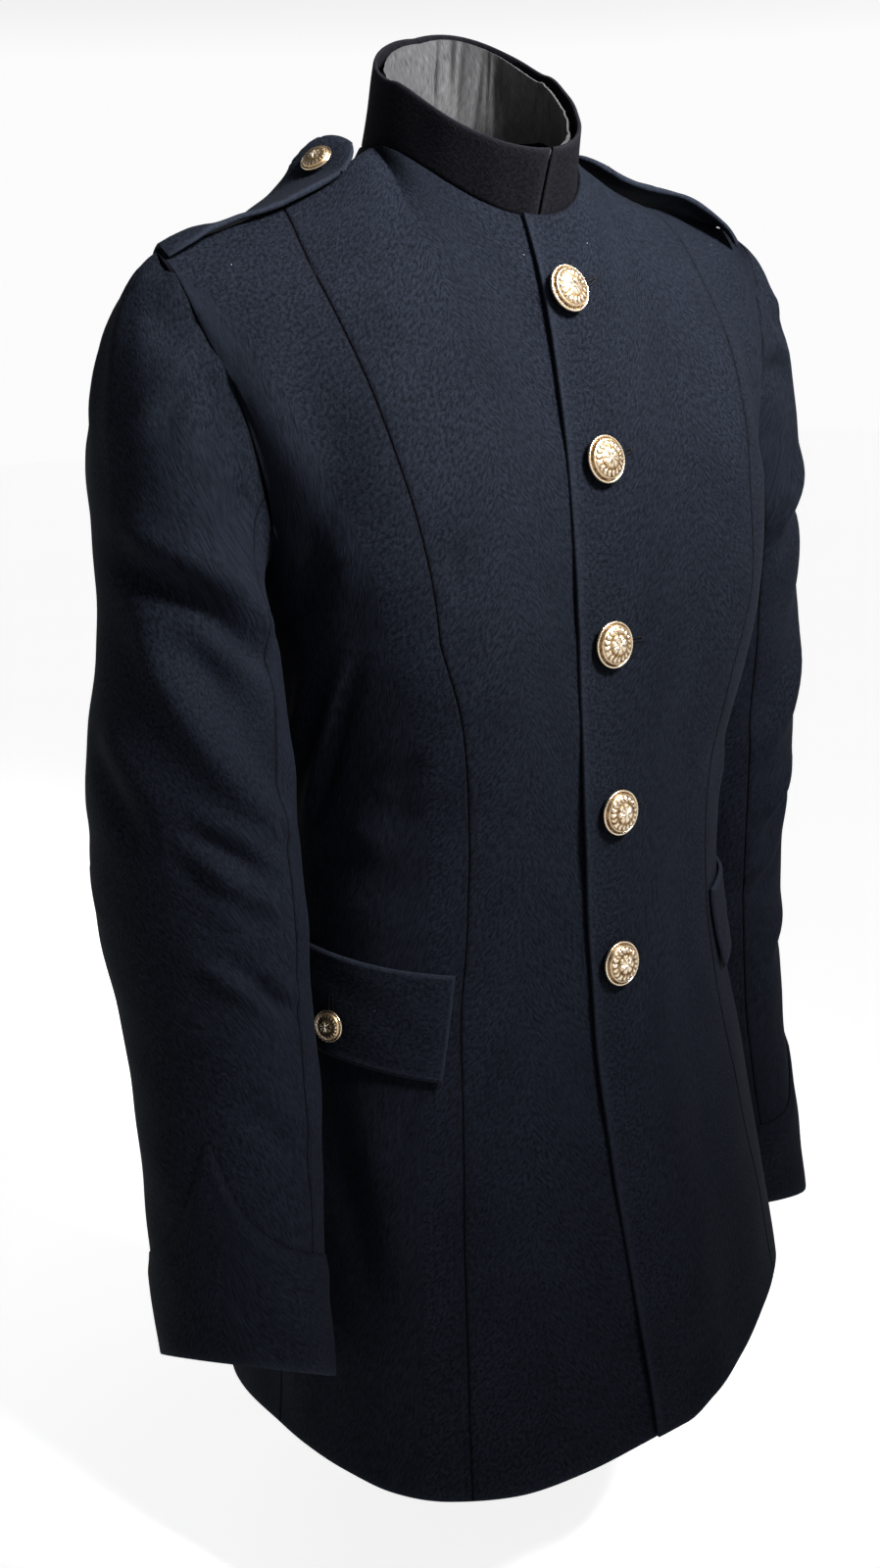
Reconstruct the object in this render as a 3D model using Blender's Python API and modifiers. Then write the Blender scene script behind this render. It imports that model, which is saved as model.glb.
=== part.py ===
"""A military dress tunic, filled out and hollow: metres, +Z up, the front towards -Y.

The origin is the middle of the neck opening at the height where the shoulder seams meet the collar.
The wearer's right is at -X. Every cloth piece is a closed wall between an outer and an inner skin.
"""

from collections import namedtuple
from math import cos, pi, radians, sin

import bmesh
import bpy
import numpy as np
from mathutils import Vector

WALL = 0.0020
COLLAR_WALL = 0.0026
SEAM_GAP = 0.0003
ARMHOLE_GAP = 0.0021
LAY_GAP = 0.0005

FRONT_BUTTON_RADIUS = 0.0127
SMALL_BUTTON_RADIUS = 0.0087

# The front buttons' heights, and how far each stands to the wearer's left of the centre.
ButtonPlace = namedtuple("ButtonPlace", "z x")
FRONT_BUTTONS = [
    ButtonPlace(-0.0735, -0.0020),
    ButtonPlace(-0.1605, 0.0030),
    ButtonPlace(-0.2560, 0.0010),
    ButtonPlace(-0.3475, 0.0020),
    ButtonPlace(-0.4330, 0.0000),
]

UNDERLAP = 0.022
LAP_GAP = 0.0016
LAP_FADE = (0.030, 0.066)

# The tunic is carried with its left shoulder high: the rise per metre to the wearer's left, and the heights
# between which it fades out.
LEAN = 0.075
LEAN_FADE = (-0.100, -0.400)

CHEST_Z = -0.238
HEM_Z = -0.700

# Columns of the half torso's grid, from the front edge to the centre back.
NECK_FRONT_COLUMNS = 6
INNER_SHOULDER_COLUMNS = 3
OUTER_SHOULDER_COLUMNS = 2
ARMHOLE_COLUMNS = 8
NECK_BACK_COLUMNS = 5
UPPER_ROWS = 8
LOWER_ROWS = 12

# One row for each level of the body below the arms. The angle is the princess seam's, from the centre front.
Level = namedtuple("Level", "z half_width side_y front_y back_y front_square back_square seam_angle")
LEVELS = [
    Level(-0.238, 0.153, 0.000, -0.104, 0.098, 2.50, 2.40, 46.5),
    Level(-0.290, 0.150, -0.004, -0.106, 0.088, 2.45, 2.35, 44.0),
    Level(-0.345, 0.146, -0.008, -0.108, 0.080, 2.35, 2.30, 45.0),
    Level(-0.400, 0.147, -0.012, -0.109, 0.082, 2.35, 2.30, 47.5),
    Level(-0.460, 0.152, -0.016, -0.113, 0.094, 2.40, 2.40, 50.5),
    Level(-0.540, 0.161, -0.020, -0.127, 0.108, 2.50, 2.50, 50.5),
    Level(-0.620, 0.169, -0.021, -0.147, 0.118, 2.45, 2.50, 49.5),
    Level(-0.720, 0.180, -0.021, -0.170, 0.126, 2.35, 2.40, 48.0),
]

# The hem's height at angles round the body, on the wearer's left and on the right.
Hem = namedtuple("Hem", "angle left right")
HEM = [
    Hem(-10, -0.6995, -0.6995),
    Hem(2, -0.6995, -0.7000),
    Hem(12, -0.6930, -0.7010),
    Hem(25, -0.6840, -0.7042),
    Hem(40, -0.6690, -0.7082),
    Hem(52, -0.6625, -0.7087),
    Hem(63, -0.6600, -0.7063),
    Hem(72, -0.6595, -0.7013),
    Hem(83, -0.6600, -0.6971),
    Hem(95, -0.6610, -0.6948),
    Hem(120, -0.6700, -0.6997),
    Hem(180, -0.6980, -0.6980),
]

BUST_HEIGHT = 0.0270
BUST_ANGLE = 50.0
BUST_SPREAD = 26.0
BUST_Z = -0.232
BUST_SPREAD_Z = 0.090

# The neckline, an oval whose height runs from the front over the sides to the back.
NECK_HALF_WIDTH = 0.0590
NECK_SIDE_Y = 0.002
NECK_FRONT_Y = -0.0590
NECK_BACK_Y = 0.0560
NECK_FRONT_Z = -0.0360
NECK_SIDE_Z = 0.0069
NECK_BACK_Z = 0.0140
NECK_SIDE_ANGLE = 97.0
NECK_CURVE = 1.6

# Points of the shoulder seam and the armhole, with their heights on the wearer's left and on the right.
Edge = namedtuple("Edge", "x y left right")
SHOULDER = [
    Edge(0.095, -0.002, -0.0170, -0.0135),
    Edge(0.125, -0.002, -0.0290, -0.0215),
    Edge(0.170, -0.002, -0.0410, -0.0315),
    Edge(0.198, -0.002, -0.0475, -0.0380),
]
ARMHOLE_FRONT = [
    Edge(0.1980, -0.020, -0.0595, -0.0515),
    Edge(0.1930, -0.037, -0.0875, -0.0837),
    Edge(0.1865, -0.043, -0.1015, -0.0998),
    Edge(0.1790, -0.051, -0.1369, -0.1369),
    Edge(0.1700, -0.048, -0.1728, -0.1728),
    Edge(0.1580, 0.000, -0.2161, -0.2161),
]
ARMHOLE_BACK = [
    Edge(0.1980, 0.018, -0.0600, -0.0520),
    Edge(0.1965, 0.040, -0.0945, -0.0912),
    Edge(0.1905, 0.053, -0.1370, -0.1370),
    Edge(0.1760, 0.046, -0.1863, -0.1863),
    Edge(0.1580, 0.000, -0.2161, -0.2161),
]


def clear_scene():
    for old in list(bpy.data.objects):
        bpy.data.objects.remove(old, do_unlink=True)


def smooth(keys, values, at):
    """A curve through the values that never swings past them, read at each place asked for."""
    keys = np.asarray(keys, float)
    values = np.asarray(values, float)
    if keys[0] > keys[-1]:
        keys = keys[::-1]
        values = values[::-1]
    steps = np.diff(keys)
    slopes = np.diff(values) / steps
    tangents = np.empty_like(values)
    tangents[0] = slopes[0]
    tangents[-1] = slopes[-1]
    for i in range(1, len(keys) - 1):
        before, after = slopes[i - 1], slopes[i]
        if before * after <= 0:
            tangents[i] = 0
        else:
            heavy = 2 * steps[i] + steps[i - 1]
            light = steps[i] + 2 * steps[i - 1]
            tangents[i] = (heavy + light) / (heavy / before + light / after)
    at = np.clip(np.asarray(at, float), keys[0], keys[-1])
    left = np.clip(np.searchsorted(keys, at, side="right") - 1, 0, len(keys) - 2)
    t = (at - keys[left]) / steps[left]
    return (
        (1 + 2 * t) * (1 - t) ** 2 * values[left]
        + t * (1 - t) ** 2 * steps[left] * tangents[left]
        + t * t * (3 - 2 * t) * values[left + 1]
        - t * t * (1 - t) * steps[left] * tangents[left + 1]
    )


def ease(t):
    t = np.clip(t, 0, 1)
    return t * t * (3 - 2 * t)


def level(column, z):
    return smooth([row.z for row in LEVELS], [getattr(row, column) for row in LEVELS], z)


def bust(angle, z):
    """How far the two cups of the fronts stand out from the plain ring."""
    away = (np.abs(angle) - BUST_ANGLE) / BUST_SPREAD
    return BUST_HEIGHT * np.exp(-(away**2) - ((z - BUST_Z) / BUST_SPREAD_Z) ** 2)


def torso(angle, z):
    """A point of the body below the arms, at an angle in degrees from the centre front to the left."""
    turn = np.radians(angle)
    across, forward = np.sin(turn), np.cos(turn)
    ahead = forward > 0
    side_y = level("side_y", z)
    depth = np.where(ahead, side_y - level("front_y", z), level("back_y", z) - side_y)
    square = np.where(ahead, level("front_square", z), level("back_square", z))
    reach = (
        (np.abs(across) / level("half_width", z)) ** square + (np.abs(forward) / depth) ** square
    ) ** (-1 / square)
    reach = reach + bust(angle, z)
    x = reach * across
    y = side_y - reach * forward
    return np.stack(np.broadcast_arrays(x, y, z), axis=-1)


def neckline(angle):
    """A point of the neck seam, at an angle in degrees from the centre front."""
    turn = np.radians(angle)
    across, forward = np.sin(turn), np.cos(turn)
    ahead = forward > 0
    depth = np.where(ahead, NECK_SIDE_Y - NECK_FRONT_Y, NECK_BACK_Y - NECK_SIDE_Y)
    reach = 1 / np.sqrt((across / NECK_HALF_WIDTH) ** 2 + (forward / depth) ** 2)
    end_z = np.where(ahead, NECK_FRONT_Z, NECK_BACK_Z)
    z = NECK_SIDE_Z + (end_z - NECK_SIDE_Z) * np.abs(forward) ** NECK_CURVE
    return np.stack([reach * across, NECK_SIDE_Y - reach * forward, z], axis=-1)


def through(points, count):
    """Evenly spaced points on a smooth curve through the given ones, the first left out."""
    points = np.array(points)
    runs = np.concatenate([[0], np.cumsum(np.linalg.norm(np.diff(points, axis=0), axis=1))])
    at = np.linspace(0, runs[-1], count + 1)[1:]
    return np.stack([smooth(runs, points[:, k], at) for k in range(3)], axis=-1)


# How the cloth leaves the top edge at a few columns of the grid, as a direction.
Leaving = namedtuple("Leaving", "column x y z")
FRONT_LEAVING = [
    Leaving(0, 0.00, -0.42, -0.91),
    Leaving(2, 0.00, -0.42, -0.91),
    Leaving(5, 0.10, -0.60, -0.79),
    Leaving(8, 0.08, -0.86, -0.50),
    Leaving(11, 0.15, -0.84, -0.52),
    Leaving(13, -0.02, -0.74, -0.67),
    Leaving(15, -0.27, -0.56, -0.78),
    Leaving(18, -0.22, -0.30, -0.93),
    Leaving(21, -0.05, 0.00, -1.00),
]
BACK_LEAVING = [
    Leaving(21, -0.05, 0.00, -1.00),
    Leaving(24, -0.24, 0.34, -0.91),
    Leaving(27, -0.20, 0.60, -0.77),
    Leaving(29, -0.02, 0.76, -0.65),
    Leaving(34, 0.00, 0.82, -0.57),
    Leaving(39, 0.00, 0.34, -0.94),
]
PULL = 0.95
UNDERARM_COLUMNS = 2.5

# The upper body is evened out along its rows: by how many columns, and the shares of its height over which this
# fades out at the top edge and at the chest. It fades out by the underarm too.
RELAX_COLUMNS = 1.5
RELAX_FADES = (0.24, 0.25)

# The front edge's distance past the centre front, on the wearer's left front.
EdgeReach = namedtuple("EdgeReach", "z reach")
FRONT_EDGE = [
    EdgeReach(-0.040, 0.014),
    EdgeReach(-0.074, 0.020),
    EdgeReach(-0.165, 0.029),
    EdgeReach(-0.255, 0.021),
    EdgeReach(-0.345, 0.020),
    EdgeReach(-0.436, 0.018),
    EdgeReach(-0.720, 0.018),
]

CENTRE = 2
NECK_SIDE = CENTRE + NECK_FRONT_COLUMNS
PRINCESS = NECK_SIDE + INNER_SHOULDER_COLUMNS
SHOULDER_TIP = PRINCESS + OUTER_SHOULDER_COLUMNS
SIDE_SEAM = SHOULDER_TIP + ARMHOLE_COLUMNS
BACK_TIP = SIDE_SEAM + ARMHOLE_COLUMNS
BACK_NECK = BACK_TIP + INNER_SHOULDER_COLUMNS + OUTER_SHOULDER_COLUMNS
CENTRE_BACK = BACK_NECK + NECK_BACK_COLUMNS


def directions(table, columns):
    keys = [row.column for row in table]
    found = np.stack([smooth(keys, [row[k] for row in table], columns) for k in (1, 2, 3)], axis=-1)
    return found / np.linalg.norm(found, axis=-1, keepdims=True)


def edge_points(table, side):
    return [[row.x, row.y, getattr(row, side)] for row in table]


def front_top(reach, side):
    """The neckline, shoulder seam and front armhole, from the front edge to the underarm."""
    edge_angle = -np.degrees(np.arctan2(reach, NECK_SIDE_Y - NECK_FRONT_Y))
    neck = np.concatenate(
        [[edge_angle, edge_angle / 2], np.linspace(0, NECK_SIDE_ANGLE, NECK_FRONT_COLUMNS + 1)]
    )
    points = neckline(neck)
    shoulder = edge_points(SHOULDER, side)
    inner = through([points[-1], *shoulder[:2]], INNER_SHOULDER_COLUMNS)
    outer = through(shoulder[1:], OUTER_SHOULDER_COLUMNS)
    armhole = through([shoulder[-1], *edge_points(ARMHOLE_FRONT, side)], ARMHOLE_COLUMNS)
    return np.concatenate([points, inner, outer, armhole])


def back_top(front, side):
    """The back armhole up from the underarm, the shoulder seam and the neckline to the centre back."""
    armhole = through([front[SHOULDER_TIP], *edge_points(ARMHOLE_BACK, side)], ARMHOLE_COLUMNS)[::-1]
    shoulder = front[NECK_SIDE : SHOULDER_TIP + 1][::-1]
    neck = neckline(np.linspace(NECK_SIDE_ANGLE, 180, NECK_BACK_COLUMNS + 1))[1:]
    return np.concatenate([armhole, shoulder, neck])


def ring_angles(z, reach):
    """The angle of each column at a level, from the front edge to the centre back."""
    depth = level("side_y", z) - level("front_y", z)
    edge = -np.degrees(np.arctan2(reach, depth))
    seam = level("seam_angle", z)
    front = np.linspace(0, seam, PRINCESS - CENTRE + 1)
    side = np.linspace(seam, 90, SIDE_SEAM - PRINCESS + 1)[1:]
    back = np.linspace(90, 180, CENTRE_BACK - SIDE_SEAM + 1)[1:]
    return np.concatenate([[edge, edge / 2], front, side, back])


def relaxed(points):
    """The upper body's rows, each evened out along its columns by a local straight-line fit."""
    columns = np.arange(points.shape[1])
    apart = columns[None] - columns[:, None]
    weight = np.exp(-((apart / RELAX_COLUMNS) ** 2))
    total = weight.sum(axis=1, keepdims=True)
    first = (weight * apart).sum(axis=1, keepdims=True)
    second = (weight * apart**2).sum(axis=1, keepdims=True)
    even = weight * (second - apart * first) / (total * second - first**2)
    away = (columns - SIDE_SEAM) / UNDERARM_COLUMNS
    clear = (1 - np.exp(-(away**2)))[:, None]
    points = points.copy()
    for row in range(1, UPPER_ROWS):
        share = row / UPPER_ROWS
        strength = clear * ease(share / RELAX_FADES[0]) * ease((1 - share) / RELAX_FADES[1])
        points[row] = (1 - strength) * points[row] + strength * (even @ points[row])
    points[:, -1, 0] = 0
    return points


def hem_drop(angle, side):
    """How far the hem hangs below its level."""
    return HEM_Z - smooth([row.angle for row in HEM], [getattr(row, side) for row in HEM], angle)


def half_torso(reach_at, side):
    """Half the body, as the wearer's left: points and outward normals, a row for each level."""
    front = front_top(reach_at(NECK_FRONT_Z), side)
    top = np.concatenate([front, back_top(front, side)[1:]])
    chest = torso(ring_angles(CHEST_Z, reach_at(CHEST_Z)), CHEST_Z)
    below = torso(ring_angles(CHEST_Z, reach_at(CHEST_Z)), CHEST_Z - 0.004)
    down = (below - chest) / np.linalg.norm(below - chest, axis=-1, keepdims=True)
    columns = np.arange(len(top))
    leave = np.concatenate(
        [
            directions(FRONT_LEAVING, columns[: SIDE_SEAM + 1]),
            directions(BACK_LEAVING, columns[SIDE_SEAM + 1 :]),
        ]
    )
    span = PULL * np.linalg.norm(chest - top, axis=-1, keepdims=True)
    rows = []
    for t in np.linspace(0, 1, UPPER_ROWS + 1):
        rows.append(
            (1 + 2 * t) * (1 - t) ** 2 * top
            + t * (1 - t) ** 2 * span * leave
            + t * t * (3 - 2 * t) * chest
            - t * t * (1 - t) * span * down
        )
    for share in np.linspace(0, 1, LOWER_ROWS + 1)[1:]:
        z = CHEST_Z + (HEM_Z - CHEST_Z) * share
        angles = ring_angles(z, reach_at(z))
        rows.append(torso(angles, z - hem_drop(angles, side) * share**2))
    points = relaxed(np.array(rows))
    normals = outward(points)
    normals[:, -1, 0] = 0
    away = (columns - SIDE_SEAM) / UNDERARM_COLUMNS
    level_out = np.exp(-(away**2))[:, None]
    normals[:UPPER_ROWS] = (1 - level_out) * normals[:UPPER_ROWS] + level_out * normals[UPPER_ROWS]
    ridge = normals[0, NECK_SIDE : SHOULDER_TIP + 1] + normals[0, BACK_TIP : BACK_NECK + 1][::-1]
    normals[0, NECK_SIDE : SHOULDER_TIP + 1] = ridge
    normals[0, BACK_TIP : BACK_NECK + 1] = ridge[::-1]
    normals /= np.linalg.norm(normals, axis=-1, keepdims=True)
    return points, normals


def outward(points):
    """Unit normals of a grid whose rows run down and whose columns run round to the wearer's left."""
    across = np.gradient(points, axis=1)
    down = np.gradient(points, axis=0)
    normals = np.cross(down, across)
    return normals / np.linalg.norm(normals, axis=-1, keepdims=True)


def pull_in(points, gap):
    """The grid with its top and its two side edges moved in by half a seam gap."""
    points = points.copy()
    way = points[1] - points[0]
    points[0] += way / np.linalg.norm(way, axis=-1, keepdims=True) * gap / 2
    for edge, inner in ((0, 1), (-1, -2)):
        way = points[:, inner] - points[:, edge]
        points[:, edge] += way / np.linalg.norm(way, axis=-1, keepdims=True) * gap / 2
    return points


def posed(points):
    """The points with the tunic's lean."""
    points = np.array(points, float)
    share = ease((points[..., 2] - LEAN_FADE[1]) / (LEAN_FADE[0] - LEAN_FADE[1]))
    points[..., 2] += LEAN * points[..., 0] * share
    return points


def mirrored(points):
    return points * np.array([-1.0, 1.0, 1.0])


def material(name, colour, roughness, metallic=0.0):
    found = bpy.data.materials.get(name) or bpy.data.materials.new(name)
    found.use_nodes = True
    shader = found.node_tree.nodes["Principled BSDF"]
    shader.inputs["Base Color"].default_value = (*colour, 1)
    shader.inputs["Roughness"].default_value = roughness
    shader.inputs["Metallic"].default_value = metallic
    return found


def place(name, mesh, finish, parent, smooth_angle=50):
    mesh.materials.append(finish)
    mesh.shade_smooth()
    mesh.set_sharp_from_angle(angle=radians(smooth_angle))
    piece = bpy.data.objects.new(name, mesh)
    bpy.data.collections[COLLECTION].objects.link(piece)
    piece.parent = parent
    return piece


def cloth_wall(name, outer, inner, finish, parent, tube=False):
    """A closed wall lofted between an outer and an inner grid; a tube's last column meets its first."""
    rows, columns = outer.shape[:2]
    bm = bmesh.new()
    skins = [[[bm.verts.new(p) for p in row] for row in posed(grid)] for grid in (outer, inner)]
    last = columns if tube else columns - 1
    for skin in skins:
        for i in range(rows - 1):
            for j in range(last):
                k = (j + 1) % columns
                bm.faces.new((skin[i][j], skin[i][k], skin[i + 1][k], skin[i + 1][j]))
    out, into = skins
    for i in (0, rows - 1):
        for j in range(last):
            k = (j + 1) % columns
            bm.faces.new((out[i][j], out[i][k], into[i][k], into[i][j]))
    if not tube:
        for j in (0, columns - 1):
            for i in range(rows - 1):
                bm.faces.new((out[i][j], out[i + 1][j], into[i + 1][j], into[i][j]))
    bmesh.ops.recalc_face_normals(bm, faces=bm.faces)
    mesh = bpy.data.meshes.new(name)
    bm.to_mesh(mesh)
    bm.free()
    return place(name, mesh, finish, parent)


def panel(name, points, normals, finish, parent, lift=0.0):
    """One piece of the body: its outer skin, with a wall behind it, parted from its neighbours at the seams."""
    outer = pull_in(points + normals * np.asarray(lift)[..., None], SEAM_GAP)
    inner = pull_in(points + normals * (np.asarray(lift)[..., None] - WALL), SEAM_GAP)
    return cloth_wall(name, outer, inner, finish, parent)


def lap_lift(x):
    """The left front rides over the right one near its edge."""
    share = ease((LAP_FADE[1] - x) / (LAP_FADE[1] - LAP_FADE[0]))
    return (WALL + LAP_GAP) * share


def left_reach(z):
    return smooth([row.z for row in FRONT_EDGE], [row.reach for row in FRONT_EDGE], z)


def right_reach(z):
    return UNDERLAP + 0 * z


def body(finish, parent):
    left, left_normals = half_torso(left_reach, "left")
    right, right_normals = half_torso(right_reach, "right")
    pieces = (("front", 0, PRINCESS), ("side_front", PRINCESS, SIDE_SEAM), ("back", SIDE_SEAM, CENTRE_BACK))
    for name, first, last in pieces:
        cut = slice(first, last + 1)
        lift = lap_lift(left[:, cut, 0]) if name == "front" else np.zeros(left[:, cut, 0].shape)
        panel(name + "_left", left[:, cut], left_normals[:, cut], finish, parent, lift)
        flat = np.zeros(lift.shape)
        panel(name + "_right", mirrored(right[:, cut]), mirrored(right_normals[:, cut]), finish, parent, flat)
    return {"_left": (left, left_normals), "_right": (right, right_normals)}


# The sleeve below its head, on the wearer's left: centre, half width outwards and half depth forwards.
# The last two say how far a level's ring rises per metre forwards and outwards.
Arm = namedtuple("Arm", "z x y half_width half_depth front_up out_up")
RIGHT_ARM = [
    Arm(-0.243, 0.2050, -0.020, 0.0435, 0.0540, 0.00, 0.00),
    Arm(-0.307, 0.2110, -0.023, 0.0500, 0.0610, 0.00, 0.00),
    Arm(-0.370, 0.2118, -0.028, 0.0510, 0.0610, 0.00, 0.00),
    Arm(-0.441, 0.2122, -0.039, 0.0468, 0.0560, 0.04, 0.04),
    Arm(-0.531, 0.2207, -0.059, 0.0440, 0.0510, 0.14, 0.20),
    Arm(-0.6105, 0.2290, -0.077, 0.0410, 0.0460, 0.27, 0.48),
]
LEFT_ARM = [
    Arm(-0.239, 0.2060, 0.002, 0.0430, 0.0545, 0.00, 0.00),
    Arm(-0.304, 0.2065, 0.010, 0.0480, 0.0590, 0.00, 0.00),
    Arm(-0.360, 0.2070, 0.013, 0.0490, 0.0590, 0.00, 0.00),
    Arm(-0.430, 0.2070, 0.013, 0.0460, 0.0550, 0.00, 0.00),
    Arm(-0.530, 0.2095, 0.008, 0.0440, 0.0510, 0.05, -0.05),
    Arm(-0.683, 0.2240, -0.010, 0.0410, 0.0460, 0.20, -0.15),
]
ARM_ROWS = 13
HEAD_ROWS = 6
SLEEVE_COLUMNS = 2 * ARMHOLE_COLUMNS
FOREARM_SEAM = 5
ELBOW_SEAM = 11

# How the sleeve leaves the armhole, by its column from the shoulder tip round the front.
SLEEVE_LEAVING = [
    Leaving(0, 0.93, 0.00, -0.36),
    Leaving(2, 0.88, -0.08, -0.46),
    Leaving(4, 0.79, 0.06, -0.61),
    Leaving(6, 0.70, 0.03, -0.72),
    Leaving(8, 0.66, 0.00, -0.74),
    Leaving(10, 0.66, 0.10, -0.74),
    Leaving(12, 0.66, 0.34, -0.68),
    Leaving(14, 0.86, 0.32, -0.42),
    Leaving(16, 0.93, 0.00, -0.36),
]
HEAD_PULL = 0.75

# Over the shoulder the sleeve's wall lies in line with the body's: the share half way down the armhole, and how
# much more it is at the shoulder tip.
WALL_IN_LINE = (0.6, 1.2)

CUFF_DEPTH = 0.060
CUFF_POINT = 0.117
CUFF_POINT_COLUMN = 2
CUFF_SPREAD = 3.6
CUFF_CURVE = 1.55
CUFF_ROWS = 4


def arm(table, column, z):
    """A point of the arm's tube: column 0 faces out, a quarter of the columns on faces forward."""
    z = np.asarray(z, float)

    def read(name, at):
        return smooth([row.z for row in table], [getattr(row, name) for row in table], at)

    centre = np.stack([read("x", z), read("y", z), z], axis=-1)
    step = 0.01
    ahead = np.stack([read("x", z - step), read("y", z - step), z - step], axis=-1)
    behind = np.stack([read("x", z + step), read("y", z + step), z + step], axis=-1)
    axis = ahead - behind
    axis /= np.linalg.norm(axis, axis=-1, keepdims=True)
    out = np.array([1.0, 0.0, 0.0]) - axis * axis[..., :1]
    out /= np.linalg.norm(out, axis=-1, keepdims=True)
    forward = np.cross(axis, out)
    forward *= -np.sign(forward[..., 1:2])
    turn = 2 * pi * np.asarray(column) / SLEEVE_COLUMNS
    width = read("half_width", z) * np.cos(turn)
    depth = read("half_depth", z) * np.sin(turn)
    points = centre + width[..., None] * out + depth[..., None] * forward
    points[..., 2] += read("front_up", z) * depth + read("out_up", z) * width
    return points


def sleeve_grid(table, torso_points, torso_normals):
    """The left sleeve's outer points and normals, and the way its wall goes in at the armhole."""
    around = np.arange(SLEEVE_COLUMNS)
    armhole = torso_points[0, SHOULDER_TIP:BACK_TIP]
    leave = directions(SLEEVE_LEAVING, around)
    start = armhole + leave * ARMHOLE_GAP
    top_z = table[0].z
    ring = arm(table, around, top_z + 0 * around)
    below = arm(table, around, top_z - 0.004 + 0 * around)
    down = (below - ring) / np.linalg.norm(below - ring, axis=-1, keepdims=True)
    span = HEAD_PULL * np.linalg.norm(ring - start, axis=-1, keepdims=True)
    rows = []
    for t in np.linspace(0, 1, HEAD_ROWS + 1):
        rows.append(
            (1 + 2 * t) * (1 - t) ** 2 * start
            + t * (1 - t) ** 2 * span * leave
            + t * t * (3 - 2 * t) * ring
            - t * t * (1 - t) * span * down
        )
    for z in np.linspace(top_z, table[-1].z, ARM_ROWS + 1)[1:]:
        rows.append(arm(table, around, z + 0 * around))
    points = np.array(rows)
    wrapped = np.concatenate([points[:, -1:], points, points[:, :1]], axis=1)
    normals = -outward(wrapped)[:, 1:-1]
    half_way, over = WALL_IN_LINE
    share = np.clip(half_way + over * np.cos(2 * pi * around / SLEEVE_COLUMNS), 0, 1)[:, None]
    normals[0] = (1 - share) * normals[0] + share * torso_normals[0, SHOULDER_TIP:BACK_TIP]
    normals[0] /= np.linalg.norm(normals[0], axis=-1, keepdims=True)
    return points, normals


def sleeves(side, points, normals, finish, parent):
    """The top sleeve and the under sleeve, parted at the forearm and elbow seams."""
    ends = {
        "sleeve_top": np.arange(ELBOW_SEAM - SLEEVE_COLUMNS, FOREARM_SEAM + 1) % SLEEVE_COLUMNS,
        "sleeve_under": np.arange(FOREARM_SEAM, ELBOW_SEAM + 1),
    }
    for name, columns in ends.items():
        outer, way = points[:, columns], normals[:, columns]
        panel(name + side.name, outer * side.flip, way * side.flip, finish, parent, np.zeros(outer.shape[:2]))


def cuff_height(column):
    """The cuff's top edge above its hem: level, with one curved point on the outside."""
    away = np.abs((column - CUFF_POINT_COLUMN + SLEEVE_COLUMNS / 2) % SLEEVE_COLUMNS - SLEEVE_COLUMNS / 2)
    rise = np.clip(1 - away / CUFF_SPREAD, 0, 1) ** CUFF_CURVE
    return CUFF_DEPTH + (CUFF_POINT - CUFF_DEPTH) * rise


def read_grid(grid, row, column, wrap=False):
    """A point between the points of a grid, at fractions of a row and a column."""
    rows, columns = grid.shape[:2]
    i = np.clip(np.floor(row).astype(int), 0, rows - 2)
    j = np.floor(column).astype(int)
    if not wrap:
        j = np.clip(j, 0, columns - 2)
    s = (row - i)[..., None]
    t = (column - j)[..., None]
    k = (j + 1) % columns
    j = j % columns
    upper = grid[i, j] * (1 - t) + grid[i, k] * t
    lower = grid[i + 1, j] * (1 - t) + grid[i + 1, k] * t
    return upper * (1 - s) + lower * s


def cuff(side, points, normals, finish, parent):
    """A second layer over the sleeve's end, made from the sleeve's own points."""
    step = (side.arm[0].z - side.arm[-1].z) / ARM_ROWS
    column = np.arange(2 * SLEEVE_COLUMNS) / 2
    share = np.linspace(1, 0, CUFF_ROWS + 1)[:, None]
    height = share * cuff_height(column)[None]
    row = len(points) - 1 - height / step
    column = np.broadcast_to(column, row.shape)
    base = read_grid(points, row, column, wrap=True)
    way = read_grid(normals, row, column, wrap=True)
    way /= np.linalg.norm(way, axis=-1, keepdims=True)
    inner = (base + way * LAY_GAP) * side.flip
    outer = (base + way * (LAY_GAP + WALL)) * side.flip
    cloth_wall("cuff" + side.name, outer, inner, finish, parent, tube=True)


# The collar's rim, an oval like the neckline's.
RIM_HALF_WIDTH = 0.0540
RIM_SIDE_Y = -0.004
RIM_FRONT_Y = -0.0665
RIM_BACK_Y = 0.0470
RIM_FRONT_Z = -0.0030
RIM_SIDE_Z = 0.0390
RIM_BACK_Z = 0.0660
RIM_CURVE = 1.3
RIM_LEAN = 0.02
RIM_CORNER = 0.0055
COLLAR_ROWS = 3
COLLAR_LIFT = 0.0008
COLLAR_MEETING = -0.0016
COLLAR_PARTING = 0.0012
# The meeting's edges slant to the wearer's left towards the rim: by how many degrees, and over how many it fades.
COLLAR_SLANT = (3.3, 60.0)

LINING_WALL = 0.0010
LINING_WAVES = 24
LINING_WAVE_DEPTH = 0.0012
LINING_DROP = 0.0025
POINTS_PER_WAVE = 3


def rim(angle):
    turn = np.radians(angle)
    across, forward = np.sin(turn), np.cos(turn)
    ahead = forward > 0
    depth = np.where(ahead, RIM_SIDE_Y - RIM_FRONT_Y, RIM_BACK_Y - RIM_SIDE_Y)
    reach = 1 / np.sqrt((across / RIM_HALF_WIDTH) ** 2 + (forward / depth) ** 2)
    end_z = np.where(ahead, RIM_FRONT_Z, RIM_BACK_Z)
    z = RIM_SIDE_Z + (end_z - RIM_SIDE_Z) * np.abs(forward) ** RIM_CURVE + RIM_LEAN * reach * across
    z = z + RIM_CORNER * 2 * np.clip(across, 0, 1) * np.clip(-forward, 0, 1)
    return np.stack([reach * across, RIM_SIDE_Y - reach * forward, z], axis=-1)


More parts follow.
